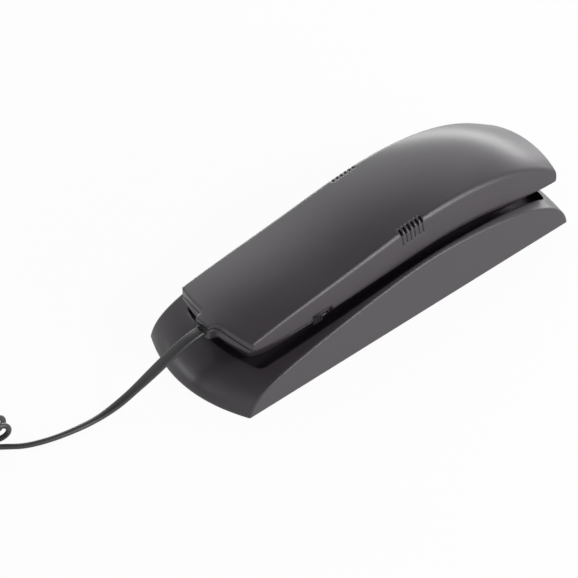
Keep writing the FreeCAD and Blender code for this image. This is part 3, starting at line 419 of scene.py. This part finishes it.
finishes = {
    "charcoal_plastic": moulded("charcoal_plastic", (0.039, 0.0325, 0.0395), 0.35, 3600.0, 0.02, 1.5),
    "key_plastic": moulded("key_plastic", (0.085, 0.085, 0.09), 0.42, 4200.0, 0.015, 0.3),
    "component_black": moulded("component_black", (0.02, 0.02, 0.023), 0.5, 5200.0, 0.02, 0.2, 0.3),
    "socket_plastic": moulded("socket_plastic", (0.03, 0.03, 0.032), 0.3, 3000.0, 0.01, 0.2, 0.3),
    "foot_rubber": moulded("foot_rubber", (0.03, 0.03, 0.03), 0.8, 2600.0, 0.05, 0.4, 0.8),
    "membrane_rubber": moulded("membrane_rubber", (0.3, 0.31, 0.32), 0.7, 3000.0, 0.03, 0.3, 0.2),
}
print("finishes", sorted(finishes))

# %% [markdown]
# The six slots in each of the handset's ridges look black in the photograph, because they are deep and little
# light gets into them. The solid's slots are shallow and rendered grey, so that shade is painted: the upper
# shell is painted black where its surface looks up from inside a slot. The place comes from the solid's own
# coordinates, and nothing lies behind the slots.

# %% Finishes: painted shade on the slots' floor
SLOT_ACROSS = (21.4, 24.7)      # millimetres from the middle plane, on both sides
SLOT_ALONG = (2.4, 16.7)        # millimetres along the handset, over all six
SLOT_HEIGHT = (40.0, 43.4)      # millimetres, less what the ridge climbs towards the ear end
RIDGE_CLIMB = 0.078             # millimetres up for each millimetre along
LOOKS_UP = 0.9                  # the least upward part of the floor's normal
# The black painted on the slots' floor as shade.
SLOT_PAINTED_SHADE = (0.002, 0.002, 0.002)


def inside(tree, value, limits):
    """1 where a value lies between two limits, which are in millimetres."""
    above = math_node(tree, "GREATER_THAN", value, limits[0] * MM)
    return math_node(tree, "MULTIPLY", above, math_node(tree, "LESS_THAN", value, limits[1] * MM))


def painted_slot_shade(tree):
    """A mask for painted shade, 1 on the slots' floor, found from its place and from how it lies."""
    where = place(tree, "ShaderNodeTexCoord")
    at = place(tree, "ShaderNodeSeparateXYZ")
    facing = place(tree, "ShaderNodeSeparateXYZ")
    surface = place(tree, "ShaderNodeNewGeometry")
    tree.links.new(where.outputs["Object"], at.inputs["Vector"])
    tree.links.new(surface.outputs["True Normal"], facing.inputs["Vector"])
    across = inside(tree, math_node(tree, "ABSOLUTE", at.outputs["X"]), SLOT_ACROSS)
    along = inside(tree, at.outputs["Y"], SLOT_ALONG)
    climb = math_node(tree, "MULTIPLY", at.outputs["Y"], RIDGE_CLIMB)
    low = inside(tree, math_node(tree, "SUBTRACT", at.outputs["Z"], climb), SLOT_HEIGHT)
    up = math_node(tree, "GREATER_THAN", facing.outputs["Z"], LOOKS_UP)
    there = math_node(tree, "MULTIPLY", across, along)
    return math_node(tree, "MULTIPLY", there, math_node(tree, "MULTIPLY", low, up))


def with_painted_slot_shade(plain):
    """A copy of a finish with painted shade: it turns black on the slots' floor."""
    material = plain.copy()
    material.name = "slotted_plastic"
    tree = material.node_tree
    colour = tree.nodes["Principled BSDF"].inputs["Base Color"]
    before = colour.links[0].from_socket
    # Paints the slots' floor black as shade.
    tree.links.new(mixed(tree, painted_slot_shade(tree), before, SLOT_PAINTED_SHADE), colour)
    return material


finishes["slotted_plastic"] = with_painted_slot_shade(finishes["charcoal_plastic"])
print("finish", finishes["slotted_plastic"].name)

# %% [markdown]
# Metals differ by how they were made. A rolled or turned surface has fine lines in one direction, so a noise
# is stretched along one axis by a Mapping node, and those lines drive the bump, while the grain drives
# roughness.

# %% Finishes: metals
def metal(name, colour, roughness, stretch):
    """Metal with fine lines, from a noise that is scaled unevenly along the axes."""
    material, tree, shader = new_material(name, Metallic=1.0)
    where = place(tree, "ShaderNodeTexCoord")
    turn = place(tree, "ShaderNodeMapping", Scale=stretch)
    lines = place(tree, "ShaderNodeTexNoise", Scale=1800.0, Detail=3.0)
    skin = group_in(tree, grain, Size=900.0, Roughness=roughness, Drift=0.18)
    tree.links.new(where.outputs["Object"], turn.inputs["Vector"])
    tree.links.new(turn.outputs["Vector"], lines.inputs["Vector"])
    tree.links.new(mixed(tree, skin.outputs["Mask"], tinted(colour, 0.85), tinted(colour, 1.1)),
                   shader.inputs["Base Color"])
    tree.links.new(skin.outputs["Roughness"], shader.inputs["Roughness"])
    bumped(tree, shader, lines.outputs["Fac"], 0.2, 0.01)
    return material


finishes |= {
    "screw_steel": metal("screw_steel", (0.6, 0.6, 0.62), 0.3, (1, 1, 6)),
    "spring_steel": metal("spring_steel", (0.52, 0.52, 0.54), 0.34, (1, 1, 8)),
    "contact_brass": metal("contact_brass", (0.85, 0.62, 0.26), 0.2, (0.2, 1, 1)),
    "capsule_steel": metal("capsule_steel", (0.5, 0.5, 0.52), 0.4, (0.2, 1, 1)),
    "microphone_can": metal("microphone_can", (0.75, 0.75, 0.77), 0.28, (0.2, 1, 1)),
    "ringer_brass": metal("ringer_brass", (0.72, 0.54, 0.24), 0.32, (1, 0.2, 1)),
}
print("finishes", len(finishes))

# %% [markdown]
# Three finishes are of their own kind. The board is glass fibre under green lacquer, with copper tracks that
# shine through it: a Brick texture has just such long rows. The plugs are clear plastic, which keeps a plain
# transmission. The cord's vinyl is soft and a little glossier, with faint lines drawn along it by the die,
# which read the cord's own map so that they follow each curl.

# %% Finishes: board, clear plastic and vinyl
def lacquered_board():
    """Green lacquer over copper tracks."""
    material, tree, shader = new_material("circuit_board", Coat_Weight=0.4)
    where = place(tree, "ShaderNodeTexCoord")
    tracks = place(tree, "ShaderNodeTexBrick", {"offset": 0.37}, Scale=260.0, Mortar_Size=0.09,
                   Brick_Width=1.9, Row_Height=0.42)
    skin = group_in(tree, grain, Size=2400.0, Roughness=0.32, Drift=0.1)
    tree.links.new(where.outputs["Object"], tracks.inputs["Vector"])
    green = mixed(tree, skin.outputs["Mask"], (0.018, 0.11, 0.045), (0.024, 0.15, 0.06))
    tree.links.new(mixed(tree, tracks.outputs["Fac"], green, (0.05, 0.24, 0.09)), shader.inputs["Base Color"])
    tree.links.new(skin.outputs["Roughness"], shader.inputs["Roughness"])
    bumped(tree, shader, tracks.outputs["Fac"], 0.4, 0.04)
    return material


def clear_moulding():
    """The plugs' clear plastic."""
    material, tree, shader = new_material("clear_plastic", Transmission_Weight=0.9, IOR=1.49)
    skin = group_in(tree, grain, Size=1200.0, Roughness=0.09, Drift=0.12)
    tree.links.new(mixed(tree, skin.outputs["Mask"], (0.82, 0.85, 0.87), (0.9, 0.92, 0.93)),
                   shader.inputs["Base Color"])
    tree.links.new(skin.outputs["Roughness"], shader.inputs["Roughness"])
    bumped(tree, shader, skin.outputs["Height"], 0.15, 0.01)
    return material


def vinyl():
    """The cord's vinyl, with lines along it that follow its map."""
    material, tree, shader = new_material("cord_vinyl", Specular_IOR_Level=0.5)
    where = place(tree, "ShaderNodeTexCoord")
    stretch = place(tree, "ShaderNodeMapping", Scale=(26.0, 40.0, 1.0))
    lines = place(tree, "ShaderNodeTexNoise", Scale=1.0, Detail=2.0)
    skin = group_in(tree, grain, Size=1500.0, Roughness=0.4, Drift=0.14)
    tree.links.new(where.outputs["UV"], stretch.inputs["Vector"])
    tree.links.new(stretch.outputs["Vector"], lines.inputs["Vector"])
    tree.links.new(mixed(tree, skin.outputs["Mask"], (0.026, 0.025, 0.028), (0.036, 0.034, 0.038)),
                   shader.inputs["Base Color"])
    tree.links.new(skin.outputs["Roughness"], shader.inputs["Roughness"])
    bumped(tree, shader, lines.outputs["Fac"], 0.15, 0.06)
    return material


finishes |= {"circuit_board": lacquered_board(), "clear_plastic": clear_moulding(), "cord_vinyl": vinyl()}
cord.data.materials.append(finishes["cord_vinyl"])
print("finishes", len(finishes))

# %% [markdown]
# The CAD solids whose shape is right stay as they are. Each one names a material slot in the record, and
# that name picks its finish.

# %% Dressing the CAD solids
slot_of = {part["node"]: part["material_slot"] for part in frame["record"]["subparts"]}
slot_of |= {"slide_knob": "component_black", "hook_plunger": "component_black",
            "handset_back": "slotted_plastic"}
for name, solid in nodes.items():
    for slot in solid.material_slots:
        slot.material = finishes[slot_of[name]]
print("dressed", len(nodes), "solids in", len(set(slot_of.values())), "finishes")

# %% [markdown]
# Fasteners, feet and contacts repeat. Geometry Nodes place one shape on several points, and each tree has
# its sizes as named inputs. The result is turned into a plain mesh, so nothing live is left on the piece.

# %% Repeated pieces: helpers
def new_repeat(name, inputs):
    """A Geometry Nodes tree that ends in Realize Instances and Set Material."""
    tree = bpy.data.node_groups.new(name, "GeometryNodeTree")
    own = [("Geometry", "NodeSocketGeometry", None), ("Material", "NodeSocketMaterial", None)]
    for label, kind, value in own + inputs:
        socket = tree.interface.new_socket(label, in_out="INPUT", socket_type=kind)
        if value is not None:
            socket.default_value = value
    tree.interface.new_socket("Geometry", in_out="OUTPUT", socket_type="NodeSocketGeometry")
    given, out = tree.nodes.new("NodeGroupInput"), tree.nodes.new("NodeGroupOutput")
    instances = place(tree, "GeometryNodeInstanceOnPoints")
    real = place(tree, "GeometryNodeRealizeInstances")
    paint = place(tree, "GeometryNodeSetMaterial")
    tree.links.new(given.outputs["Geometry"], instances.inputs["Points"])
    tree.links.new(instances.outputs["Instances"], real.inputs["Geometry"])
    tree.links.new(real.outputs["Geometry"], paint.inputs["Geometry"])
    tree.links.new(given.outputs["Material"], paint.inputs["Material"])
    tree.links.new(paint.outputs["Geometry"], out.inputs["Geometry"])
    return tree, given, instances


def moved_up(tree, geometry, height):
    """The geometry, raised by a height."""
    shift = place(tree, "ShaderNodeCombineXYZ")
    move = place(tree, "GeometryNodeTransform")
    tree.links.new(height, shift.inputs["Z"])
    tree.links.new(geometry, move.inputs["Geometry"])
    tree.links.new(shift.outputs["Vector"], move.inputs["Translation"])
    return move.outputs["Geometry"]


def repeated(name, tree, points, body, slot_name, replaced=(), **values):
    """The tree's result on points in millimetres, as a plain mesh that rides on a body."""
    places = bpy.data.meshes.new(name + "_places")
    places.from_pydata([[v * MM for v in point] for point in points], [], [])
    holder = bpy.data.objects.new(name + "_places", places)
    bpy.context.scene.collection.objects.link(holder)
    modifier = holder.modifiers.new("made", "NODES")
    modifier.node_group = tree
    values["Material"] = finishes[slot_name]
    for item in tree.interface.items_tree:
        if item.in_out == "INPUT" and item.name.replace(" ", "_") in values:
            modifier[item.identifier] = values[item.name.replace(" ", "_")]
    bpy.context.view_layer.update()
    made = holder.evaluated_get(bpy.context.evaluated_depsgraph_get())
    mesh = bpy.data.meshes.new_from_object(made)
    bpy.data.objects.remove(holder)
    piece = bpy.data.objects.new(name, mesh)
    bpy.context.scene.collection.objects.link(piece)
    mesh.shade_smooth()
    mesh.set_sharp_from_angle(angle=math.radians(35))
    if replaced:
        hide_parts(*replaced)
    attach(piece, body)
    print(name, len(mesh.polygons), "faces on", body)
    return piece


# %% [markdown]
# The screws that close the base and the handset are pan heads with a cross recess, driven from below. The
# head is a cylinder whose sides draw in towards the face, and two crossed bars are cut out of it. Each screw
# stops at its own angle, from a fixed seed.

# %% Repeated pieces: the screws
HEAD_HEIGHT = 1.5         # millimetres


def screw_tree():
    """A pan head with a cross recess on a plain shank, turned by a seeded angle."""
    tree, given, instances = new_repeat("pan head screws", [
        ("Head Radius", FLOAT, 2.5 * MM), ("Head Height", FLOAT, HEAD_HEIGHT * MM),
        ("Shank Radius", FLOAT, 1.2 * MM), ("Length", FLOAT, 5.0 * MM), ("Seed", "NodeSocketInt", 4)])
    link = tree.links.new
    head = place(tree, "GeometryNodeMeshCylinder", Vertices=28, Side_Segments=4, Fill_Segments=2)
    link(given.outputs["Head Radius"], head.inputs["Radius"])
    link(given.outputs["Head Height"], head.inputs["Depth"])
    at = place(tree, "GeometryNodeInputPosition")
    split = place(tree, "ShaderNodeSeparateXYZ")
    link(at.outputs["Position"], split.inputs["Vector"])
    rise = math_node(tree, "DIVIDE", split.outputs["Z"], given.outputs["Head Height"])
    drawn = math_node(tree, "POWER", math_node(tree, "SUBTRACT", 0.5, rise), 4.0)
    keep = math_node(tree, "SUBTRACT", 1.0, math_node(tree, "MULTIPLY", drawn, 0.24))
    join = place(tree, "ShaderNodeCombineXYZ")
    link(math_node(tree, "MULTIPLY", split.outputs["X"], keep), join.inputs["X"])
    link(math_node(tree, "MULTIPLY", split.outputs["Y"], keep), join.inputs["Y"])
    link(split.outputs["Z"], join.inputs["Z"])
    domed = place(tree, "GeometryNodeSetPosition")
    link(head.outputs["Mesh"], domed.inputs["Geometry"])
    link(join.outputs["Vector"], domed.inputs["Position"])
    down = math_node(tree, "MULTIPLY", given.outputs["Head Height"], -0.5)
    cut = place(tree, "GeometryNodeMeshBoolean", {"operation": "DIFFERENCE"})
    link(moved_up(tree, domed.outputs["Geometry"], down), cut.inputs["Mesh 1"])
    low = math_node(tree, "MULTIPLY", given.outputs["Head Height"], -1.0)
    for long_way, short_way in (("X", "Y"), ("Y", "X")):
        size = place(tree, "ShaderNodeCombineXYZ")
        link(math_node(tree, "MULTIPLY", given.outputs["Head Radius"], 1.15), size.inputs[long_way])
        link(math_node(tree, "MULTIPLY", given.outputs["Head Radius"], 0.26), size.inputs[short_way])
        link(math_node(tree, "MULTIPLY", given.outputs["Head Height"], 1.2), size.inputs["Z"])
        bar = place(tree, "GeometryNodeMeshCube")
        link(size.outputs["Vector"], bar.inputs["Size"])
        link(moved_up(tree, bar.outputs["Mesh"], low), cut.inputs["Mesh 2"])
    shank = place(tree, "GeometryNodeMeshCylinder", Vertices=16)
    link(given.outputs["Shank Radius"], shank.inputs["Radius"])
    link(given.outputs["Length"], shank.inputs["Depth"])
    whole = place(tree, "GeometryNodeJoinGeometry")
    half = math_node(tree, "MULTIPLY", given.outputs["Length"], 0.5)
    link(moved_up(tree, shank.outputs["Mesh"], half), whole.inputs["Geometry"])
    link(cut.outputs["Mesh"], whole.inputs["Geometry"])
    link(whole.outputs["Geometry"], instances.inputs["Instance"])
    turn = place(tree, "FunctionNodeRandomValue", {"data_type": "FLOAT"})
    turn.inputs[2].default_value, turn.inputs[3].default_value = 0.0, math.pi / 2
    link(given.outputs["Seed"], turn.inputs["Seed"])
    spin = place(tree, "ShaderNodeCombineXYZ")
    link(turn.outputs[1], spin.inputs["Z"])
    link(spin.outputs["Vector"], instances.inputs["Rotation"])
    return tree


screws = screw_tree()
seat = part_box("base_screws")[0][2] / MM + HEAD_HEIGHT
base_screw_places = [(x, y, seat) for x in (-24, 24) for y in (-62, 76)]
repeated("base_screw_set", screws, base_screw_places, "base", "screw_steel", ["base_screws"],
         Length=5.1 * MM)
repeated("handset_screw_set", screws, [(0, -50, 19.0), (0, 56, 21.1)], "handset", "screw_steel",
         ["handset_screws"], Length=13.0 * MM, Seed=9)

# %% [markdown]
# The base stands on four rubber feet. Their faces have rings that let the foot bend and grip. A cylinder
# whose end is divided into many rings only needs those rings moved up and down by a wave of their distance
# from the middle.

# %% Repeated pieces: the feet
def foot_tree():
    """A disc whose lower face is raised and lowered in rings."""
    tree, given, instances = new_repeat("ringed feet", [
        ("Radius", FLOAT, 5.0 * MM), ("Height", FLOAT, 1.6 * MM), ("Rings", FLOAT, 3.0),
        ("Ring Height", FLOAT, 0.3 * MM)])
    link = tree.links.new
    disc = place(tree, "GeometryNodeMeshCylinder", Vertices=48, Side_Segments=3, Fill_Segments=20)
    link(given.outputs["Radius"], disc.inputs["Radius"])
    link(given.outputs["Height"], disc.inputs["Depth"])
    at = place(tree, "GeometryNodeInputPosition")
    split = place(tree, "ShaderNodeSeparateXYZ")
    link(at.outputs["Position"], split.inputs["Vector"])
    out_x = math_node(tree, "POWER", split.outputs["X"], 2.0)
    out_y = math_node(tree, "POWER", split.outputs["Y"], 2.0)
    away = math_node(tree, "SQRT", math_node(tree, "ADD", out_x, out_y))
    share = math_node(tree, "DIVIDE", away, given.outputs["Radius"])
    turns = math_node(tree, "MULTIPLY", share, given.outputs["Rings"])
    turns = math_node(tree, "MULTIPLY", turns, 2 * math.pi)
    wave = math_node(tree, "MULTIPLY_ADD", math_node(tree, "COSINE", turns), -0.5, 0.5)
    face = math_node(tree, "MULTIPLY", given.outputs["Height"], -0.49)
    low = math_node(tree, "LESS_THAN", split.outputs["Z"], face)
    lift = math_node(tree, "MULTIPLY", math_node(tree, "MULTIPLY", wave, low), given.outputs["Ring Height"])
    shift = place(tree, "ShaderNodeCombineXYZ")
    link(lift, shift.inputs["Z"])
    ringed = place(tree, "GeometryNodeSetPosition")
    link(disc.outputs["Mesh"], ringed.inputs["Geometry"])
    link(shift.outputs["Vector"], ringed.inputs["Offset"])
    half = math_node(tree, "MULTIPLY", given.outputs["Height"], 0.5)
    link(moved_up(tree, ringed.outputs["Geometry"], half), instances.inputs["Instance"])
    return tree


foot_places = [(-24, -80, 0), (24, -80, 0), (-22, 88, 0), (22, 88, 0)]
repeated("base_feet", foot_tree(), foot_places, "base", "foot_rubber", ["feet"])

# %% [markdown]
# A modular plug has four sprung contacts that lie in slots of its clear body. Each is a thin strip that
# comes up from the conductor and turns over at the front. A strip that follows a path is a curve with a
# rectangle for its profile, and a Mesh Line sets the four side by side.

# %% Repeated pieces: the plug's contacts
CONTACTS_INSET = 1.0      # millimetres behind the plug's front
CONTACTS_UP = 3.4         # millimetres above the table


def contact_tree():
    """Bent strips side by side, centred on their point."""
    tree, given, instances = new_repeat("plug contacts", [
        ("Count", "NodeSocketInt", 4), ("Pitch", FLOAT, 1.02 * MM), ("Length", FLOAT, 4.2 * MM),
        ("Width", FLOAT, 0.4 * MM)])
    link = tree.links.new
    path = place(tree, "GeometryNodeCurveQuadraticBezier", Resolution=8)
    path.inputs["Start"].default_value = (0, 0, -1.6 * MM)
    path.inputs["Middle"].default_value = (0, 0, 0)
    end = place(tree, "ShaderNodeCombineXYZ")
    link(given.outputs["Length"], end.inputs["X"])
    link(end.outputs["Vector"], path.inputs["End"])
    profile = place(tree, "GeometryNodeCurvePrimitiveQuadrilateral", Height=0.25 * MM)
    link(given.outputs["Width"], profile.inputs["Width"])
    strip = place(tree, "GeometryNodeCurveToMesh", Fill_Caps=True)
    link(path.outputs["Curve"], strip.inputs["Curve"])
    link(profile.outputs["Curve"], strip.inputs["Profile Curve"])
    step = place(tree, "ShaderNodeCombineXYZ")
    link(given.outputs["Pitch"], step.inputs["Y"])
    row = place(tree, "GeometryNodeMeshLine")
    link(given.outputs["Count"], row.inputs["Count"])
    link(step.outputs["Vector"], row.inputs["Offset"])
    side_by_side = place(tree, "GeometryNodeInstanceOnPoints")
    link(row.outputs["Mesh"], side_by_side.inputs["Points"])
    link(strip.outputs["Mesh"], side_by_side.inputs["Instance"])
    centred = place(tree, "GeometryNodeTransform")
    back = math_node(tree, "MULTIPLY", math_node(tree, "SUBTRACT", given.outputs["Count"], 1.0), -0.5)
    aside = place(tree, "ShaderNodeCombineXYZ")
    link(math_node(tree, "MULTIPLY", back, given.outputs["Pitch"]), aside.inputs["Y"])
    link(side_by_side.outputs["Instances"], centred.inputs["Geometry"])
    link(aside.outputs["Vector"], centred.inputs["Translation"])
    whole = place(tree, "GeometryNodeRealizeInstances")
    link(centred.outputs["Geometry"], whole.inputs["Geometry"])
    link(whole.outputs["Geometry"], instances.inputs["Instance"])
    return tree


plug_low, plug_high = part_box("base_plug")
plug_middle = (plug_low[1] + plug_high[1]) / 2 / MM
contact_places = [(plug_low[0] / MM + CONTACTS_INSET, plug_middle, CONTACTS_UP)]
repeated("base_plug_contacts", contact_tree(), contact_places, "base", "contact_brass")

# %% [markdown]
# The keys carry printed numbers and letters, the same on every telephone. They are read from below with the
# ear end up, so the text is turned half round its upright axis. A Text object gives the outlines, and it is
# made a thin mesh before it is put in its place.

# %% The keys' legends
LEGENDS = {"mute": ("MUTE", ""), "redial": ("REDIAL", ""), "flash": ("FLASH", ""), "1": ("1", ""),
           "2": ("2", "ABC"), "3": ("3", "DEF"), "4": ("4", "GHI"), "5": ("5", "JKL"), "6": ("6", "MNO"),
           "7": ("7", "PQRS"), "8": ("8", "TUV"), "9": ("9", "WXYZ"), "star": ("*", ""), "0": ("0", "OPER"),
           "hash": ("#", "")}
INK_THICKNESS = 0.04
CAPITAL_SHARE = 0.72      # a capital's height as a share of the font's size
SIGN_HEIGHT, WORD_HEIGHT, LETTERS_HEIGHT = 3.0, 1.35, 1.15
SIGN_Y, LETTERS_Y = -0.8, 1.9     # millimetres from the key's middle, where a key has both


def lettering(text, height, middle):
    """A mesh of flat letters of one height round a middle, both in millimetres."""
    data = bpy.data.curves.new("letters", "FONT")
    data.body, data.size = text, height * MM / CAPITAL_SHARE
    data.align_x, data.align_y = "CENTER", "CENTER"
    data.extrude = INK_THICKNESS * MM
    data.resolution_u = 4
    holder = bpy.data.objects.new("letters", data)
    bpy.context.scene.collection.objects.link(holder)
    bpy.context.view_layer.update()
    mesh = bpy.data.meshes.new_from_object(holder)
    bpy.data.objects.remove(holder)
    mesh.transform(Matrix.Translation(Vector((middle[0], middle[1], 0)) * MM))
    return mesh


def legend(name, large, small):
    """One key's print, on its face and riding on its button."""
    low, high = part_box("key_" + name)
    height = WORD_HEIGHT if len(large) > 1 else SIGN_HEIGHT
    meshes = [lettering(large, height, (0.0, SIGN_Y if small else 0.0))]
    if small:
        meshes.append(lettering(small, LETTERS_HEIGHT, (0.0, LETTERS_Y)))
    bm = bmesh.new()
    for mesh in meshes:
        bm.from_mesh(mesh)
    bmesh.ops.remove_doubles(bm, verts=bm.verts, dist=1e-6)
    bmesh.ops.recalc_face_normals(bm, faces=bm.faces)
    mesh = bpy.data.meshes.new("legend_" + name)
    bm.to_mesh(mesh)
    bm.free()
    middle = Vector(((low[0] + high[0]) / 2, (low[1] + high[1]) / 2, low[2]))
    mesh.transform(Matrix.Translation(middle) @ Matrix.Rotation(math.pi, 4, "Y"))
    piece = bpy.data.objects.new("legend_" + name, mesh)
    bpy.context.scene.collection.objects.link(piece)
    mesh.materials.append(finishes["legend_ink"])
    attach(piece, "button_" + name)
    return piece


def ink():
    """Pale printing ink."""
    material, tree, shader = new_material("legend_ink")
    skin = group_in(tree, grain, Size=3000.0, Roughness=0.5, Drift=0.1)
    tree.links.new(mixed(tree, skin.outputs["Mask"], (0.62, 0.62, 0.6), (0.78, 0.78, 0.76)),
                   shader.inputs["Base Color"])
    tree.links.new(skin.outputs["Roughness"], shader.inputs["Roughness"])
    bumped(tree, shader, skin.outputs["Height"], 0.2, 0.01)
    return material


finishes["legend_ink"] = ink()
legends = [legend(name, *words) for name, words in LEGENDS.items()]
print("legends", len(legends))

# %% [markdown]
# The photograph has a white ground with hardly any shadow. The table is a pale floor that takes the object's
# shadow, and where the camera or a gloss looks at it, most of it is plain white.

# %% The table
PLAIN_WHITE = 0.94        # how much of the table is plain white to the camera, a gloss or clear plastic
TABLE_HALF = 4.0          # metres


def paper():
    """Matt pale paper that mostly gives plain white to what looks at it."""
    material = bpy.data.materials.new("pale_table")
    material.use_nodes = True
    tree = material.node_tree
    tree.nodes.clear()
    light = place(tree, "ShaderNodeLightPath")
    matt = place(tree, "ShaderNodeBsdfDiffuse", Color=(0.95, 0.95, 0.95, 1.0))
    white = place(tree, "ShaderNodeEmission", Color=(1.0, 1.0, 1.0, 1.0), Strength=1.0)
    seen = math_node(tree, "MAXIMUM", light.outputs["Is Camera Ray"], light.outputs["Is Glossy Ray"])
    seen = math_node(tree, "MAXIMUM", seen, light.outputs["Is Transmission Ray"])
    blend = place(tree, "ShaderNodeMixShader")
    out = place(tree, "ShaderNodeOutputMaterial")
    tree.links.new(math_node(tree, "MULTIPLY", seen, PLAIN_WHITE), blend.inputs[0])
    tree.links.new(matt.outputs[0], blend.inputs[1])
    tree.links.new(white.outputs[0], blend.inputs[2])
    tree.links.new(blend.outputs[0], out.inputs["Surface"])
    return material


def table_top(half):
    """The square table, in paper."""
    mesh = bpy.data.meshes.new("table")
    corners = [(-half, -half, 0), (half, -half, 0), (half, half, 0), (-half, half, 0)]
    mesh.from_pydata(corners, [], [(0, 1, 2, 3)])
    mesh.materials.append(paper())
    table = bpy.data.objects.new("table", mesh)
    bpy.context.scene.collection.objects.link(table)
    return table


table = table_top(TABLE_HALF)
print("table", table.name)

# %% [markdown]
# A soft studio is a few large lamps. Two stand opposite the camera, one low and one higher, and give the
# broad sheen on the handset's crown. One stands low on the right and lights the long side, with a narrow
# strip above it, and a second strip stands at the front left. The world fills in the rest. It is white to
# the camera, and to a gloss it is white near the horizon and dim overhead. The powers were set by trial
# until this view's tones came near the photograph's.

# %% The lamps and the world
LAMPS_AIM = Vector((0, 0, 0.02))
SKY_FADES = (0.55, 0.95)      # upward part of a gloss's direction, where the white starts and stops fading
SKY_OVERHEAD = 0.1
SKY_FOR_MATT = 0.33


def lamp(name, azimuth, elevation, distance, size, power):
    """A rectangular lamp that looks at the telephone. Its azimuth is counted as the camera's is."""
    a, e = math.radians(azimuth), math.radians(elevation)
    back = Vector((math.sin(a) * math.cos(e), -math.cos(a) * math.cos(e), math.sin(e)))
    data = bpy.data.lights.new(name, "AREA")
    data.shape, data.size, data.size_y, data.energy = "RECTANGLE", size[0], size[1], power
    light = bpy.data.objects.new(name, data)
    bpy.context.scene.collection.objects.link(light)
    light.location = LAMPS_AIM + back * distance
    light.rotation_euler = (-back).to_track_quat("-Z", "Y").to_euler()
    return light


# name, azimuth, elevation, distance and size in metres, power in watts
LAMPS = [("behind", 227.0, 4.0, 1.4, (1.8, 0.3), 13.0),
         ("back high", 229.0, 42.0, 1.5, (1.6, 0.8), 5.0),
         ("right", 112.0, 12.0, 1.4, (1.2, 0.5), 12.0),
         ("right strip", 118.0, 36.0, 1.3, (0.6, 0.14), 6.0),
         ("front strip", -36.0, 12.0, 1.3, (0.6, 0.12), 1.6)]
lamps = [lamp(*values) for values in LAMPS]


def studio_world():
    """White to the camera; to a gloss it is white at the horizon and dim overhead."""
    world = bpy.data.worlds.new("studio")
    bpy.context.scene.world = world
    world.use_nodes = True
    tree = world.node_tree
    light = place(tree, "ShaderNodeLightPath")
    where = place(tree, "ShaderNodeTexCoord")
    split = place(tree, "ShaderNodeSeparateXYZ")
    sky = place(tree, "ShaderNodeMapRange", From_Min=SKY_FADES[0], From_Max=SKY_FADES[1], To_Min=1.0,
                To_Max=SKY_OVERHEAD)
    tree.links.new(where.outputs["Generated"], split.inputs["Vector"])
    tree.links.new(split.outputs["Z"], sky.inputs["Value"])
    glossy = place(tree, "ShaderNodeMix", A=SKY_FOR_MATT)
    tree.links.new(light.outputs["Is Glossy Ray"], glossy.inputs["Factor"])
    tree.links.new(sky.outputs["Result"], glossy.inputs["B"])
    seen = math_node(tree, "MAXIMUM", light.outputs["Is Camera Ray"], light.outputs["Is Transmission Ray"])
    level = place(tree, "ShaderNodeMix", B=1.0)
    tree.links.new(seen, level.inputs["Factor"])
    tree.links.new(glossy.outputs["Result"], level.inputs["A"])
    ground = tree.nodes["Background"]
    ground.inputs["Color"].default_value = (1.0, 1.0, 1.0, 1.0)
    tree.links.new(level.outputs["Result"], ground.inputs["Strength"])


studio_world()
bpy.context.scene.view_settings.view_transform = "Standard"
print("lamps", [light.name for light in lamps])

# %% The end
bpy.context.view_layer.update()
